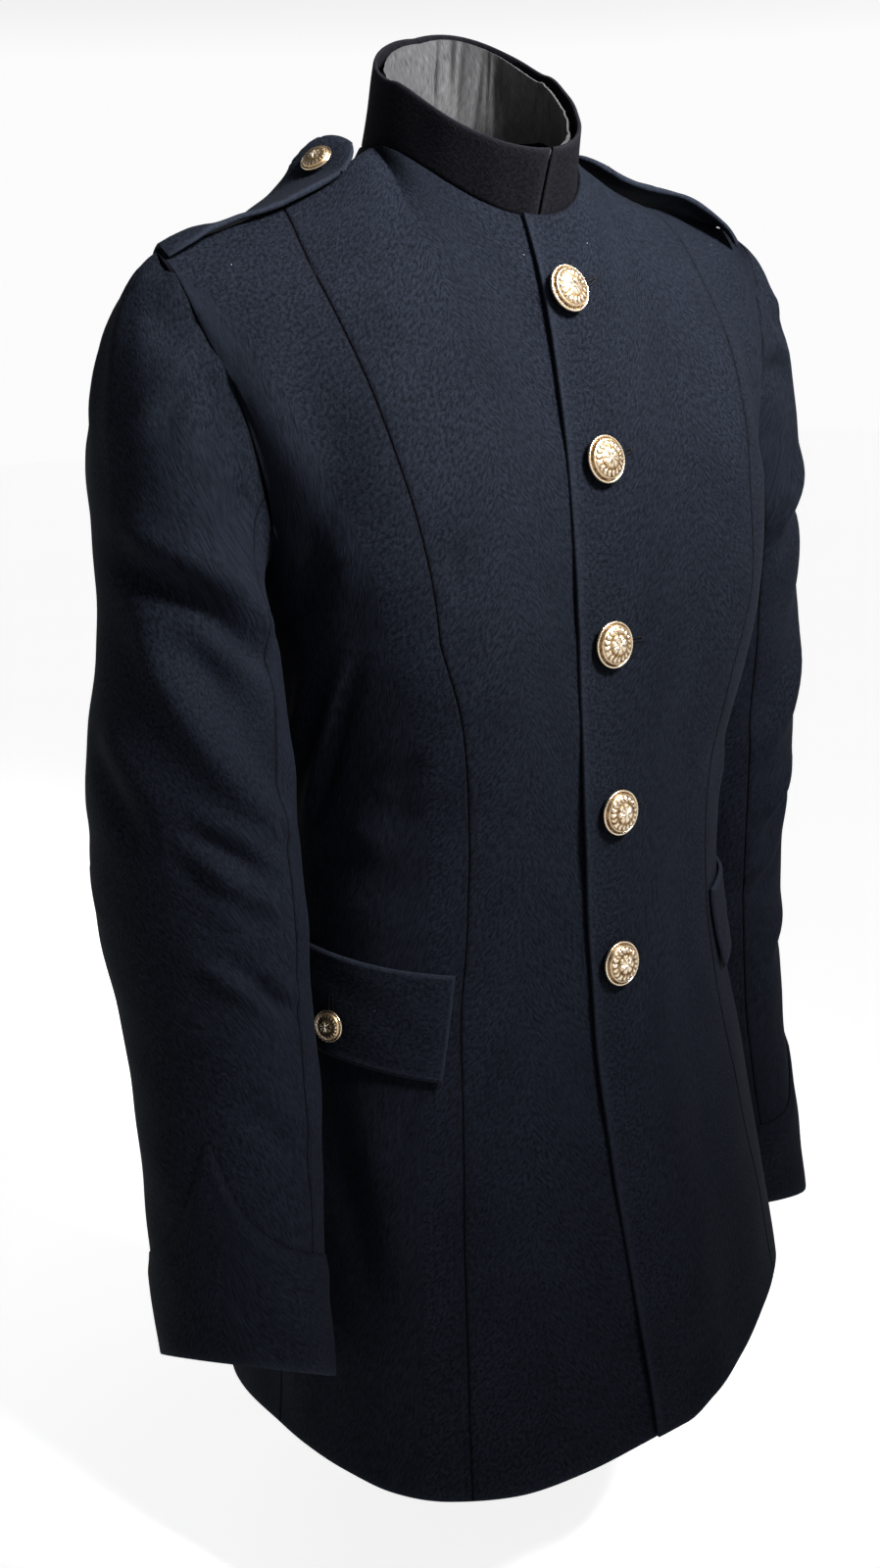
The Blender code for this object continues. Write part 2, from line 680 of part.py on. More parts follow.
def collar_grid(angles):
    """The stand collar's outer points, its rim on top, and the way out from its wall."""
    away = np.minimum(np.abs(angles), np.abs(360 - angles))
    base = neckline(angles)
    top = rim(angles + COLLAR_SLANT[0] * np.clip(1 - away / COLLAR_SLANT[1], 0, 1))
    rise = (top - base) / np.linalg.norm(top - base, axis=-1, keepdims=True)
    base = base + rise * COLLAR_LIFT
    share = np.linspace(0, 1, COLLAR_ROWS + 1)[:, None, None]
    points = top * (1 - share) + base * share
    along = np.gradient(points[-1], axis=0)
    out = np.cross(rise, along)
    out /= np.linalg.norm(out, axis=-1, keepdims=True)
    out *= np.sign(np.sum(out * (points[-1] - [0, NECK_SIDE_Y, 0]), axis=-1, keepdims=True))
    return points, np.broadcast_to(out, points.shape).copy()


def collar(finish, lining_finish, parent):
    front = np.linspace(0, NECK_SIDE_ANGLE, NECK_FRONT_COLUMNS + 1)
    back = np.linspace(NECK_SIDE_ANGLE, 180, NECK_BACK_COLUMNS + 1)[1:]
    half = np.concatenate([front, back])
    radius = NECK_SIDE_Y - NECK_FRONT_Y
    left_end = np.degrees(COLLAR_MEETING / radius)
    right_end = 360 + np.degrees((COLLAR_MEETING - COLLAR_PARTING) / radius)
    angles = np.concatenate([[left_end], half[1:], 360 - half[-2:0:-1], [right_end]])
    outer, way = collar_grid(angles)
    cloth_wall("collar", outer, outer - way * COLLAR_WALL, finish, parent)

    count = LINING_WAVES * POINTS_PER_WAVE
    angles = np.linspace(left_end + 1.5, right_end - 1.5, count + 1)
    outer, way = collar_grid(angles)
    wave = 0.5 - 0.5 * np.cos(2 * pi * np.arange(count + 1) / POINTS_PER_WAVE)
    hang = (outer[1] - outer[0]) / np.linalg.norm(outer[1] - outer[0], axis=-1, keepdims=True)
    skin = outer[[0, -1]] + hang * np.array([LINING_DROP, -LAY_GAP])[:, None, None]
    skin = np.stack([skin[0], skin.mean(axis=0), skin[1]])
    way = way[:3]
    sag = COLLAR_WALL + 2 * LAY_GAP + wave[:, None] * LINING_WAVE_DEPTH
    near = skin - way * sag
    far = skin - way * (sag + LINING_WALL)
    cloth_wall("collar_lining", near, far, lining_finish, parent)


STRAP_OUTER_WIDTH = 0.056
STRAP_INNER_WIDTH = 0.037
STRAP_LENGTH = 0.133
STRAP_THICKNESS = 0.0032
STRAP_BUTTON_FROM_END = 0.0180
STRAP_ROWS = 12
STRAP_COLUMNS = 6
STRAP_END_CURVE = 0.85
STRAP_ROUNDING = 0.62
STRAP_END_REACH = 0.96
STRAP_CLEAR = 0.001

# Along a strap: how far its middle lies behind the shoulder seam and stands off the shoulder, the degrees by
# which its rear edge is tipped up, and how far it is a flat board rather than laid to the shoulder.
Board = namedtuple("Board", "share back height tip flat")
RIGHT_STRAP = [
    Board(0.00, 0.0200, 0.0014, 0, 0.0),
    Board(0.10, 0.0185, 0.0080, 0, 0.3),
    Board(0.22, 0.0167, 0.0135, 0, 0.7),
    Board(0.35, 0.0147, 0.0125, 0, 1.0),
    Board(0.50, 0.0125, 0.0100, 0, 1.0),
    Board(0.66, 0.0100, 0.0085, 0, 1.0),
    Board(0.76, 0.0086, 0.0110, 10, 1.0),
    Board(0.86, 0.0070, 0.0165, 30, 1.0),
    Board(1.00, 0.0040, 0.0225, 48, 1.0),
]
LEFT_STRAP = [
    Board(0.00, 0.0060, 0.0028, 0, 0.0),
    Board(0.10, 0.0060, 0.0070, 0, 0.3),
    Board(0.25, 0.0060, 0.0100, 0, 0.7),
    Board(0.40, 0.0060, 0.0115, 0, 1.0),
    Board(0.55, 0.0056, 0.0088, 0, 1.0),
    Board(0.70, 0.0053, 0.0055, 0, 1.0),
    Board(1.00, 0.0050, 0.0040, 0, 1.0),
]


def shoulder_point(points, normals, along, across):
    """On the shoulder: along runs in from the tip in columns, across runs back from the seam in metres."""
    front_column = SHOULDER_TIP - along
    back_column = BACK_TIP + along
    rows = np.linspace(0, UPPER_ROWS, 4 * UPPER_ROWS + 1)
    found = np.empty(along.shape + (3,))
    ways = np.empty(along.shape + (3,))
    for index in np.ndindex(along.shape):
        column = back_column[index] if across[index] > 0 else front_column[index]
        line = read_grid(points, rows, np.full(rows.shape, column))
        way = read_grid(normals, rows, np.full(rows.shape, column))
        run = np.concatenate([[0], np.cumsum(np.linalg.norm(np.diff(line, axis=0), axis=1))])
        at = abs(across[index])
        found[index] = [np.interp(at, run, line[:, k]) for k in range(3)]
        ways[index] = [np.interp(at, run, way[:, k]) for k in range(3)]
    return found, ways / np.linalg.norm(ways, axis=-1, keepdims=True)


def strap_grid(points, normals, table):
    """A strap's underside, as the wearer's left, from the armhole seam in to its rounded end by the collar."""
    shoulder = points[0, BACK_TIP : BACK_NECK + 1]
    runs = np.concatenate([[0], np.cumsum(np.linalg.norm(np.diff(shoulder, axis=0), axis=1))])
    share = np.linspace(0, 1, STRAP_ROWS + 1) ** STRAP_END_CURVE
    side = np.linspace(-1, 1, STRAP_COLUMNS + 1)
    share, side = np.meshgrid(share, side, indexing="ij")
    half = side * (STRAP_OUTER_WIDTH + (STRAP_INNER_WIDTH - STRAP_OUTER_WIDTH) * share) / 2
    back_off = STRAP_INNER_WIDTH * STRAP_ROUNDING * (1 - np.sqrt(1 - (STRAP_END_REACH * side) ** 2))
    inward = share * (STRAP_LENGTH - back_off) + STRAP_CLEAR
    station = inward / (STRAP_LENGTH + STRAP_CLEAR)
    along = np.interp(inward, runs, np.arange(len(runs)))

    def read(name):
        return smooth([row.share for row in table], [getattr(row, name) for row in table], station)[..., None]

    back = read("back")[..., 0]
    laid, way = shoulder_point(points, normals, along, back + half)
    laid = laid + way * read("height")
    middle, way = shoulder_point(points, normals, along, back)
    middle = middle + way * read("height")
    run = np.gradient(middle, axis=0)
    run /= np.linalg.norm(run, axis=-1, keepdims=True)
    rear = np.array([0.0, 1.0, 0.0]) - run * run[..., 1:2]
    rear /= np.linalg.norm(rear, axis=-1, keepdims=True)
    up = np.cross(run, rear)
    up *= np.sign(up[..., 2:3])
    tip = np.radians(read("tip"))
    board = middle + half[..., None] * (np.cos(tip) * rear + np.sin(tip) * up)
    return laid + (board - laid) * read("flat")


def straps(halves, finish, parent):
    """Both straps; gives each one's upper face and its way up, as the wearer's left."""
    made = {}
    for side in SIDES:
        under = strap_grid(*halves[side.name], side.strap)
        way = outward(under)
        way *= np.sign(way[..., 2:3])
        top = under + way * STRAP_THICKNESS
        cloth_wall("strap" + side.name, top * side.flip, under * side.flip, finish, parent)
        made[side.name] = top, way
    return made


FLAP_TOP_Z = -0.4279
FLAP_HEIGHT = 0.057
FLAP_RISE = 0.0206
FLAP_FRONT_ANGLE = 51.0
FLAP_BACK_ANGLE = 103.0
FLAP_THICKNESS = 0.0026
FLAP_SKEW = 4.0
FLAP_GAP = 0.0010
FLAP_ROWS = 5
FLAP_COLUMNS = 11
FLAP_BUTTON_SHARE = 0.70


def flaps(points, normals, finish, parent):
    """The hip pocket flaps, made from the body's own points and moved out."""
    share, down = np.meshgrid(
        np.linspace(0, 1, FLAP_COLUMNS + 1), np.linspace(0, 1, FLAP_ROWS + 1), indexing="xy"
    )
    angle = FLAP_FRONT_ANGLE + (FLAP_BACK_ANGLE - FLAP_FRONT_ANGLE) * share
    angle = angle + FLAP_SKEW * down * (1 - 2 * share)
    z = FLAP_TOP_Z + FLAP_RISE * share - FLAP_HEIGHT * down
    row = UPPER_ROWS + (CHEST_Z - z) / (CHEST_Z - HEM_Z) * LOWER_ROWS
    seam = level("seam_angle", z)
    front_span = (SIDE_SEAM - PRINCESS) * (angle - seam) / (90 - seam) + PRINCESS
    back_span = (CENTRE_BACK - SIDE_SEAM) * (angle - 90) / 90 + SIDE_SEAM
    column = np.where(angle < 90, front_span, back_span)
    base = read_grid(points, row, column)
    way = read_grid(normals, row, column)
    way /= np.linalg.norm(way, axis=-1, keepdims=True)
    inner = base + way * FLAP_GAP
    outer = inner + way * FLAP_THICKNESS
    cloth_wall("flap_left", outer, inner, finish, parent)
    cloth_wall("flap_right", mirrored(outer), mirrored(inner), finish, parent)
    return outer, way


BUTTON_STEPS = 20
FRONT_SHANK = 0.0025
SMALL_SHANK = 0.0016


def button_profile(radius, shank_height):
    """Half of a domed button on a short shank: radius and height, from the crown down its outer side."""
    rise = 0.34 * radius
    brim = shank_height + 0.10 * radius
    crown = [(radius * 0.90 * sin(a), brim + rise * cos(a)) for a in np.linspace(0, pi / 2, 5)[:-1]]
    return [
        *crown,
        (radius * 0.90, brim + 0.02 * radius),
        (radius, brim - 0.02 * radius),
        (radius * 0.97, shank_height),
        (radius * 0.28, shank_height),
        (radius * 0.24, 0.0),
        (0.0, 0.0),
    ]


def button(name, seat, way, radius, shank_height, finish, parent):
    """A turned button, its shank standing on the cloth at the seat and its dome facing the way given."""
    profile = button_profile(radius, shank_height)
    mesh = bpy.data.meshes.new(name)
    mesh.from_pydata([(r, 0, h) for r, h in profile], [(i, i + 1) for i in range(len(profile) - 1)], [])
    piece = place(name, mesh, finish, parent)
    turn = piece.modifiers.new("turned", "SCREW")
    turn.steps = turn.render_steps = BUTTON_STEPS
    turn.use_merge_vertices = True
    turn.merge_threshold = 0.00001
    turn.use_smooth_shade = True
    way = Vector(way).normalized()
    piece.location = Vector(posed(seat)) + way * SEAM_GAP
    piece.rotation_euler = way.to_track_quat("Z", "Y").to_euler()
    return piece


def main_buttons(points, normals, finish, parent):
    """The front buttons stand on the wearer's left front, down the centre."""
    outer = points + normals * lap_lift(points[..., :1])
    near = np.arange(CENTRE + 3.0)
    line = outer[:, CENTRE]
    for i, spot in enumerate(FRONT_BUTTONS):
        row = np.interp(-spot.z, -line[:, 2], np.arange(len(line)))
        across = read_grid(outer, np.full(near.shape, row), near)[:, 0]
        at = np.array([row]), np.array([np.interp(spot.x, across, near)])
        seat = read_grid(outer, *at)[0]
        way = read_grid(normals, *at)[0]
        button(f"button_front_{i + 1}", seat, way, FRONT_BUTTON_RADIUS, FRONT_SHANK, finish, parent)


def small_buttons(strap_skins, flap, flap_way, finish, parent):
    share = 1 - STRAP_BUTTON_FROM_END / STRAP_LENGTH
    strap_place = np.array([STRAP_ROWS * share ** (1 / STRAP_END_CURVE)]), np.array([STRAP_COLUMNS / 2])
    flap_place = np.array([FLAP_ROWS * FLAP_BUTTON_SHARE]), np.array([FLAP_COLUMNS / 2])
    for side in SIDES:
        skin, skin_way = strap_skins[side.name]
        for name, place_on, grid, ways in (
            ("button_strap", strap_place, skin, skin_way),
            ("button_flap", flap_place, flap, flap_way),
        ):
            seat = read_grid(grid, *place_on)[0] * side.flip
            way = read_grid(ways, *place_on)[0] * side.flip
            button(name + side.name, seat, way, SMALL_BUTTON_RADIUS, SMALL_SHANK, finish, parent)


Side = namedtuple("Side", "name flip arm strap")
SIDES = (
    Side("_left", np.array([1.0, 1.0, 1.0]), LEFT_ARM, LEFT_STRAP),
    Side("_right", np.array([-1.0, 1.0, 1.0]), RIGHT_ARM, RIGHT_STRAP),
)
COLLECTION = "dress_tunic"


def main():
    clear_scene()
    group = bpy.data.collections.new(COLLECTION)
    bpy.context.scene.collection.children.link(group)
    tunic = bpy.data.objects.new("tunic", None)
    group.objects.link(tunic)
    barathea = material("navy_barathea", (0.012, 0.014, 0.022), 0.85)
    black = material("black_satin", (0.010, 0.010, 0.011), 0.40)
    gilt = material("gilt_brass", (0.85, 0.66, 0.38), 0.25, 1.0)
    halves = body(barathea, tunic)
    points, normals = halves["_left"]
    for side in SIDES:
        arm_points, arm_normals = sleeve_grid(side.arm, *halves[side.name])
        sleeves(side, arm_points, arm_normals, barathea, tunic)
        cuff(side, arm_points, arm_normals, barathea, tunic)
    collar(barathea, black, tunic)
    strap_skins = straps(halves, barathea, tunic)
    flap, flap_way = flaps(points, normals, barathea, tunic)
    main_buttons(points, normals, gilt, tunic)
    small_buttons(strap_skins, flap, flap_way, gilt, tunic)


main()
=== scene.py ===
"""A dark navy dress tunic with gilt buttons, worked buttonholes and a satin neck band.

It is filled out and empty. Metres, +Z up, the front towards -Y and the wearer's right at -X. Each cloth piece
is a thin closed shell on the form of its solid, with the creases and rolled edges of the real one.
"""

from collections import namedtuple
from math import cos, pi, radians, sin

import bmesh
import bpy
import numpy as np
from mathutils import Matrix, Vector


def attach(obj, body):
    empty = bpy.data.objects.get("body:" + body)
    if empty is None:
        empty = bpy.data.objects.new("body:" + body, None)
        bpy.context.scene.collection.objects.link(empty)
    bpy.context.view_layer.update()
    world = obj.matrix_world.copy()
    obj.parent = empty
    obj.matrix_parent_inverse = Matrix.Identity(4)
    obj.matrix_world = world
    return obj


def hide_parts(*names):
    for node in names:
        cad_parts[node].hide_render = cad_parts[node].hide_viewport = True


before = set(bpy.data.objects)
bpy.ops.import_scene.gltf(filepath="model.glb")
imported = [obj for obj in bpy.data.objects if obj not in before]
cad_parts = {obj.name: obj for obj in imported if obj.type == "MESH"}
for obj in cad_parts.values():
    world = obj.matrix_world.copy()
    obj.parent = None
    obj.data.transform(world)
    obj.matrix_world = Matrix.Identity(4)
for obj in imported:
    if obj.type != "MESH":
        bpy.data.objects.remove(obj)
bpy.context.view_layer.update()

# The cloth's thickness, the gaps between layers, and how the left front rides over the right one.
WALL = 0.0020
COLLAR_WALL = 0.0026
ARMHOLE_GAP = 0.0004
LAY_GAP = 0.0005
LAP_GAP = 0.0016
LAP_FADE = (0.030, 0.066)
UNDERLAP = 0.022
BUTTON_GAP = 0.0003

# How the edges roll in, how far the marks of rubbed edges and the painted shade of seams reach, and their
# share on the inside.
ROLL_DEPTH = 0.0007
ROLL_REACH = 0.0014
WEAR_REACH = 0.0022
SEAM_SHADE_REACH = 0.0009
INSIDE_MARK = 0.4
# Faces that meet at more degrees than this keep a sharp edge between them.
CLOTH_SHARP = 60
BUTTON_SHARP = 65

# Columns run along the cloth from the front edge to the centre back, and rows run down from its top edge.
CENTRE = 2
NECK_SIDE = 8
PRINCESS = 11
SHOULDER_TIP = 13
SIDE_SEAM = 21
BACK_TIP = 29
BACK_NECK = 34
CENTRE_BACK = 39
UPPER_ROWS = 8
LOWER_ROWS = 12
HEM_ROW = UPPER_ROWS + LOWER_ROWS

# The whole tunic tilts: its left side rises by a share of the way across, in full above the first height and
# not at all below the second.
LEAN = 0.075
LEAN_FADE = (-0.100, -0.400)
CHEST_Z = -0.238
HEM_Z = -0.700
# How far below a ring its way down is taken.
STEP_DOWN = 0.004

# The body below the arms, at each level; the last angle is the princess seam's from the centre front.
Level = namedtuple("Level", "z half_width side_y front_y back_y front_square back_square seam_angle")
LEVELS = [
    Level(-0.238, 0.153, 0.000, -0.104, 0.098, 2.50, 2.40, 46.5),
    Level(-0.290, 0.150, -0.004, -0.106, 0.088, 2.45, 2.35, 44.0),
    Level(-0.345, 0.146, -0.008, -0.108, 0.080, 2.35, 2.30, 45.0),
    Level(-0.400, 0.147, -0.012, -0.109, 0.082, 2.35, 2.30, 47.5),
    Level(-0.460, 0.152, -0.016, -0.113, 0.094, 2.40, 2.40, 50.5),
    Level(-0.540, 0.161, -0.020, -0.127, 0.108, 2.50, 2.50, 50.5),
    Level(-0.620, 0.169, -0.021, -0.147, 0.118, 2.45, 2.50, 49.5),
    Level(-0.720, 0.180, -0.021, -0.170, 0.126, 2.35, 2.40, 48.0),
]

# The hem's height on both sides, by the angle from the centre front.
Hem = namedtuple("Hem", "angle left right")
HEM = [
    Hem(-10, -0.6995, -0.6995),
    Hem(2, -0.6995, -0.7000),
    Hem(12, -0.6930, -0.7010),
    Hem(25, -0.6840, -0.7042),
    Hem(40, -0.6690, -0.7082),
    Hem(52, -0.6625, -0.7087),
    Hem(63, -0.6600, -0.7063),
    Hem(72, -0.6595, -0.7013),
    Hem(83, -0.6600, -0.6971),
    Hem(95, -0.6610, -0.6948),
    Hem(120, -0.6700, -0.6997),
    Hem(180, -0.6980, -0.6980),
]

# The bust is a soft swell round one angle and one height.
BUST_HEIGHT = 0.0270
BUST_ANGLE = 50.0
BUST_SPREAD = 26.0
BUST_Z = -0.232
BUST_SPREAD_Z = 0.090

# A ring round the neck: its places and heights at the side, front and back, and how its height curves.
Oval = namedtuple("Oval", "half_width side_y front_y back_y side_z front_z back_z curve")
NECK = Oval(0.0590, 0.002, -0.0590, 0.0560, 0.0069, -0.0360, 0.0140, 1.6)
RIM = Oval(0.0540, -0.004, -0.0665, 0.0470, 0.0390, -0.0030, 0.0660, 1.3)
NECK_SIDE_ANGLE = 97.0

# Points of the shoulder seam and the armhole, with their heights on the wearer's left and on the right.
Edge = namedtuple("Edge", "x y left right")
SHOULDER = [
    Edge(0.074, 0.000, -0.0036, 0.0030),
    Edge(0.095, -0.002, -0.0170, -0.0088),
    Edge(0.125, -0.002, -0.0290, -0.0205),
    Edge(0.170, -0.002, -0.0410, -0.0315),
    Edge(0.198, -0.002, -0.0475, -0.0380),
]
ARMHOLE_FRONT = [
    Edge(0.1980, -0.020, -0.0595, -0.0515),
    Edge(0.1930, -0.037, -0.0875, -0.0837),
    Edge(0.1865, -0.043, -0.1015, -0.0998),
    Edge(0.1790, -0.051, -0.1369, -0.1369),
    Edge(0.1700, -0.048, -0.1728, -0.1728),
    Edge(0.1580, 0.000, -0.2161, -0.2161),
]
ARMHOLE_BACK = [
    Edge(0.1980, 0.018, -0.0600, -0.0520),
    Edge(0.1965, 0.040, -0.0945, -0.0912),
    Edge(0.1905, 0.053, -0.1370, -0.1370),
    Edge(0.1760, 0.046, -0.1863, -0.1863),
    Edge(0.1580, 0.000, -0.2161, -0.2161),
]

# How the cloth leaves the top edge at a few columns, as a direction.
Leaving = namedtuple("Leaving", "column x y z")
FRONT_LEAVING = [
    Leaving(0, 0.00, -0.42, -0.91),
    Leaving(2, 0.00, -0.42, -0.91),
    Leaving(5, 0.10, -0.60, -0.79),
    Leaving(8, 0.08, -0.86, -0.50),
    Leaving(11, 0.15, -0.84, -0.52),
    Leaving(13, -0.02, -0.74, -0.67),
    Leaving(15, -0.27, -0.56, -0.78),
    Leaving(18, -0.22, -0.30, -0.93),
    Leaving(21, -0.05, 0.00, -1.00),
]
BACK_LEAVING = [
    Leaving(21, -0.05, 0.00, -1.00),
    Leaving(24, -0.24, 0.34, -0.91),
    Leaving(27, -0.20, 0.60, -0.77),
    Leaving(29, -0.02, 0.76, -0.65),
    Leaving(34, 0.00, 0.82, -0.57),
    Leaving(39, 0.00, 0.34, -0.94),
]
# How strongly the cloth keeps its way at the top edge and at the chest, and the underarm's half width.
PULL = 0.95
UNDERARM_COLUMNS = 2.5

# The upper body is evened out along its rows: by how many columns, and the shares of its height over which
# this fades out at the top edge and at the chest. It fades out by the underarm too.
RELAX_COLUMNS = 1.5
RELAX_FADES = (0.24, 0.25)

# How far the left front reaches past the centre, by height.
EdgeReach = namedtuple("EdgeReach", "z reach")
FRONT_EDGE = [
    EdgeReach(-0.040, 0.014),
    EdgeReach(-0.074, 0.020),
    EdgeReach(-0.165, 0.029),
    EdgeReach(-0.255, 0.021),
    EdgeReach(-0.345, 0.020),
    EdgeReach(-0.436, 0.018),
    EdgeReach(-0.720, 0.018),
]


def hermite(t, start, leaving, end, arriving):
    """A curve from start to end, with the way it leaves and the way it arrives."""
    return (
        (1 + 2 * t) * (1 - t) ** 2 * start
        + t * (1 - t) ** 2 * leaving
        + t * t * (3 - 2 * t) * end
        - t * t * (1 - t) * arriving
    )


def smooth(keys, values, at):
    """A curve through the values that never swings past them, read at each place asked for."""
    keys = np.asarray(keys, float)
    values = np.asarray(values, float)
    if keys[0] > keys[-1]:
        keys = keys[::-1]
        values = values[::-1]
    steps = np.diff(keys)
    slopes = np.diff(values) / steps
    tangents = np.empty_like(values)
    tangents[0] = slopes[0]
    tangents[-1] = slopes[-1]
    for i in range(1, len(keys) - 1):
        before, after = slopes[i - 1], slopes[i]
        if before * after <= 0:
            tangents[i] = 0
        else:
            heavy = 2 * steps[i] + steps[i - 1]
            light = steps[i] + 2 * steps[i - 1]
            tangents[i] = (heavy + light) / (heavy / before + light / after)
    at = np.clip(np.asarray(at, float), keys[0], keys[-1])
    left = np.clip(np.searchsorted(keys, at, side="right") - 1, 0, len(keys) - 2)
    right, step = left + 1, steps[left]
    t = (at - keys[left]) / step
    return hermite(t, values[left], step * tangents[left], values[right], step * tangents[right])


def ease(t):
    """A share that starts and ends softly."""
    t = np.clip(t, 0, 1)
    return t * t * (3 - 2 * t)


def share_between(value, first, last):
    """How far a value is on its way from first to last."""
    return np.clip((value - first) / (last - first), 0, 1)


def unit(vectors):
    """The same ways, each of length one."""
    return vectors / np.linalg.norm(vectors, axis=-1, keepdims=True)


def read_table(table, column, at):
    """One column of a table, read at places of its first column."""
    return smooth([row[0] for row in table], [getattr(row, column) for row in table], at)


def arc(points, axis=0):
    """The length along a line of points, or along a grid's rows or columns, from its first edge."""
    steps = np.linalg.norm(np.diff(points, axis=axis), axis=-1)
    start = np.zeros_like(np.take(steps, [0], axis=axis))
    return np.concatenate([start, np.cumsum(steps, axis=axis)], axis=axis)


def torso(angle, z):
    """A point of the body below the arms, so many degrees from the centre front to the wearer's left."""
    turn = np.radians(angle)
    across, forward = np.sin(turn), np.cos(turn)
    width, side_y, front_y, back_y, front_square, back_square = (
        read_table(LEVELS, name, z) for name in Level._fields[1:-1]
    )
    ahead = forward > 0
    depth = np.where(ahead, side_y - front_y, back_y - side_y)
    square = np.where(ahead, front_square, back_square)
    reach = ((np.abs(across) / width) ** square + (np.abs(forward) / depth) ** square) ** (-1 / square)
    away = (np.abs(angle) - BUST_ANGLE) / BUST_SPREAD
    reach = reach + BUST_HEIGHT * np.exp(-(away**2) - ((z - BUST_Z) / BUST_SPREAD_Z) ** 2)
    return np.stack(np.broadcast_arrays(reach * across, side_y - reach * forward, z), axis=-1)


def neck_ring(oval, angle):
    """A point of a ring round the neck, at an angle in degrees from the centre front."""
    turn = np.radians(angle)
    across, forward = np.sin(turn), np.cos(turn)
    ahead = forward > 0
    depth = np.where(ahead, oval.side_y - oval.front_y, oval.back_y - oval.side_y)
    reach = 1 / np.sqrt((across / oval.half_width) ** 2 + (forward / depth) ** 2)
    end_z = np.where(ahead, oval.front_z, oval.back_z)
    z = oval.side_z + (end_z - oval.side_z) * np.abs(forward) ** oval.curve
    return np.stack([reach * across, oval.side_y - reach * forward, z], axis=-1)


def run_along(points, share):
    """Places at shares of the length of a smooth curve through the points."""
    points = np.array(points)
    runs = arc(points)
    return np.stack([smooth(runs, points[:, k], share * runs[-1]) for k in range(points.shape[1])], axis=-1)


def edge_points(table, side):
    """The points of an edge, with that side's heights."""
    return [[row.x, row.y, getattr(row, side)] for row in table]


def top_edge(columns, reach, side):
    """The neckline, the shoulder seam and the armhole, by column from the front edge to the centre back."""
    columns = np.asarray(columns, float)
    edge_angle = -np.degrees(np.arctan2(reach, NECK.side_y - NECK.front_y))
    front = np.interp(columns, [0, CENTRE, NECK_SIDE], [edge_angle, 0, NECK_SIDE_ANGLE])
    back = np.interp(columns, [BACK_NECK, CENTRE_BACK], [NECK_SIDE_ANGLE, 180])
    found = neck_ring(NECK, np.where(columns < SIDE_SEAM, front, back))
    seam = edge_points(SHOULDER, side)
    inner = [neck_ring(NECK, NECK_SIDE_ANGLE), *seam[:3]]
    front_hole = [seam[-1], *edge_points(ARMHOLE_FRONT, side)]
    back_hole = [seam[-1], *edge_points(ARMHOLE_BACK, side)]
    along = np.minimum(columns, SHOULDER_TIP + BACK_TIP - columns)
    for places, path, first, last in (
        (along, inner, NECK_SIDE, PRINCESS),
        (along, seam[2:], PRINCESS, SHOULDER_TIP),
        (columns, front_hole, SHOULDER_TIP, SIDE_SEAM),
        (columns, back_hole, BACK_TIP, SIDE_SEAM),
    ):
        inside = (places > min(first, last)) & (places <= max(first, last))
        found = np.where(inside[:, None], run_along(path, share_between(places, first, last)), found)
    return found


def directions(table, columns):
    """The way at each column, from a table of a few."""
    return unit(np.stack([read_table(table, axis, columns) for axis in ("x", "y", "z")], axis=-1))


def ring_angles(columns, z, reach):
    """The angles from the centre front of a level's columns."""
    depth = read_table(LEVELS, "side_y", z) - read_table(LEVELS, "front_y", z)
    edge = -np.degrees(np.arctan2(reach, depth))
    seam = float(read_table(LEVELS, "seam_angle", z))
    return np.interp(columns, [0, CENTRE, PRINCESS, SIDE_SEAM, CENTRE_BACK], [edge, 0, seam, 90, 180])


def outward(points):
    """Unit normals of a grid whose rows run down and whose columns run round to the wearer's left."""
    return unit(np.cross(np.gradient(points, axis=0), np.gradient(points, axis=1)))


# A grid of points on the cloth, with the column and the row that each stands for.
Surface = namedtuple("Surface", "columns rows points normals")


def read(surface, column, row, grid=None):
    """A place on the cloth between the points of its grid."""
    grid = surface.points if grid is None else grid
    i = np.interp(row, surface.rows, np.arange(len(surface.rows)))
    j = np.interp(column, surface.columns, np.arange(len(surface.columns)))
    i0 = np.clip(np.floor(i).astype(int), 0, len(surface.rows) - 2)
    j0 = np.clip(np.floor(j).astype(int), 0, len(surface.columns) - 2)
    s, t = (i - i0)[..., None], (j - j0)[..., None]
    upper = grid[i0, j0] * (1 - t) + grid[i0, j0 + 1] * t
    lower = grid[i0 + 1, j0] * (1 - t) + grid[i0 + 1, j0 + 1] * t
    return upper * (1 - s) + lower * s


def spread(marks, per_unit, near):
    """Even places from the first mark to the last, with a few close ones on both sides of each mark."""
    found = []
    for first, last in zip(marks, marks[1:]):
        found.append(np.linspace(first, last, int(round((last - first) * per_unit)) + 1))
        found += [first + np.array(near), last - np.array(near)]
    found = np.unique(np.round(np.concatenate(found), 5))
    return found[(found >= marks[0]) & (found <= marks[-1])]


BODY_MARKS = (0, NECK_SIDE, PRINCESS, SHOULDER_TIP, SIDE_SEAM, BACK_TIP, BACK_NECK, CENTRE_BACK)
BODY_COLUMNS = spread(BODY_MARKS, 5, (0.05, 0.11))
BODY_ROWS = np.concatenate(
    [spread((0, UPPER_ROWS), 7, (0.025, 0.06)), spread((UPPER_ROWS, HEM_ROW), 11, (0.015, 0.04))[1:]]
)


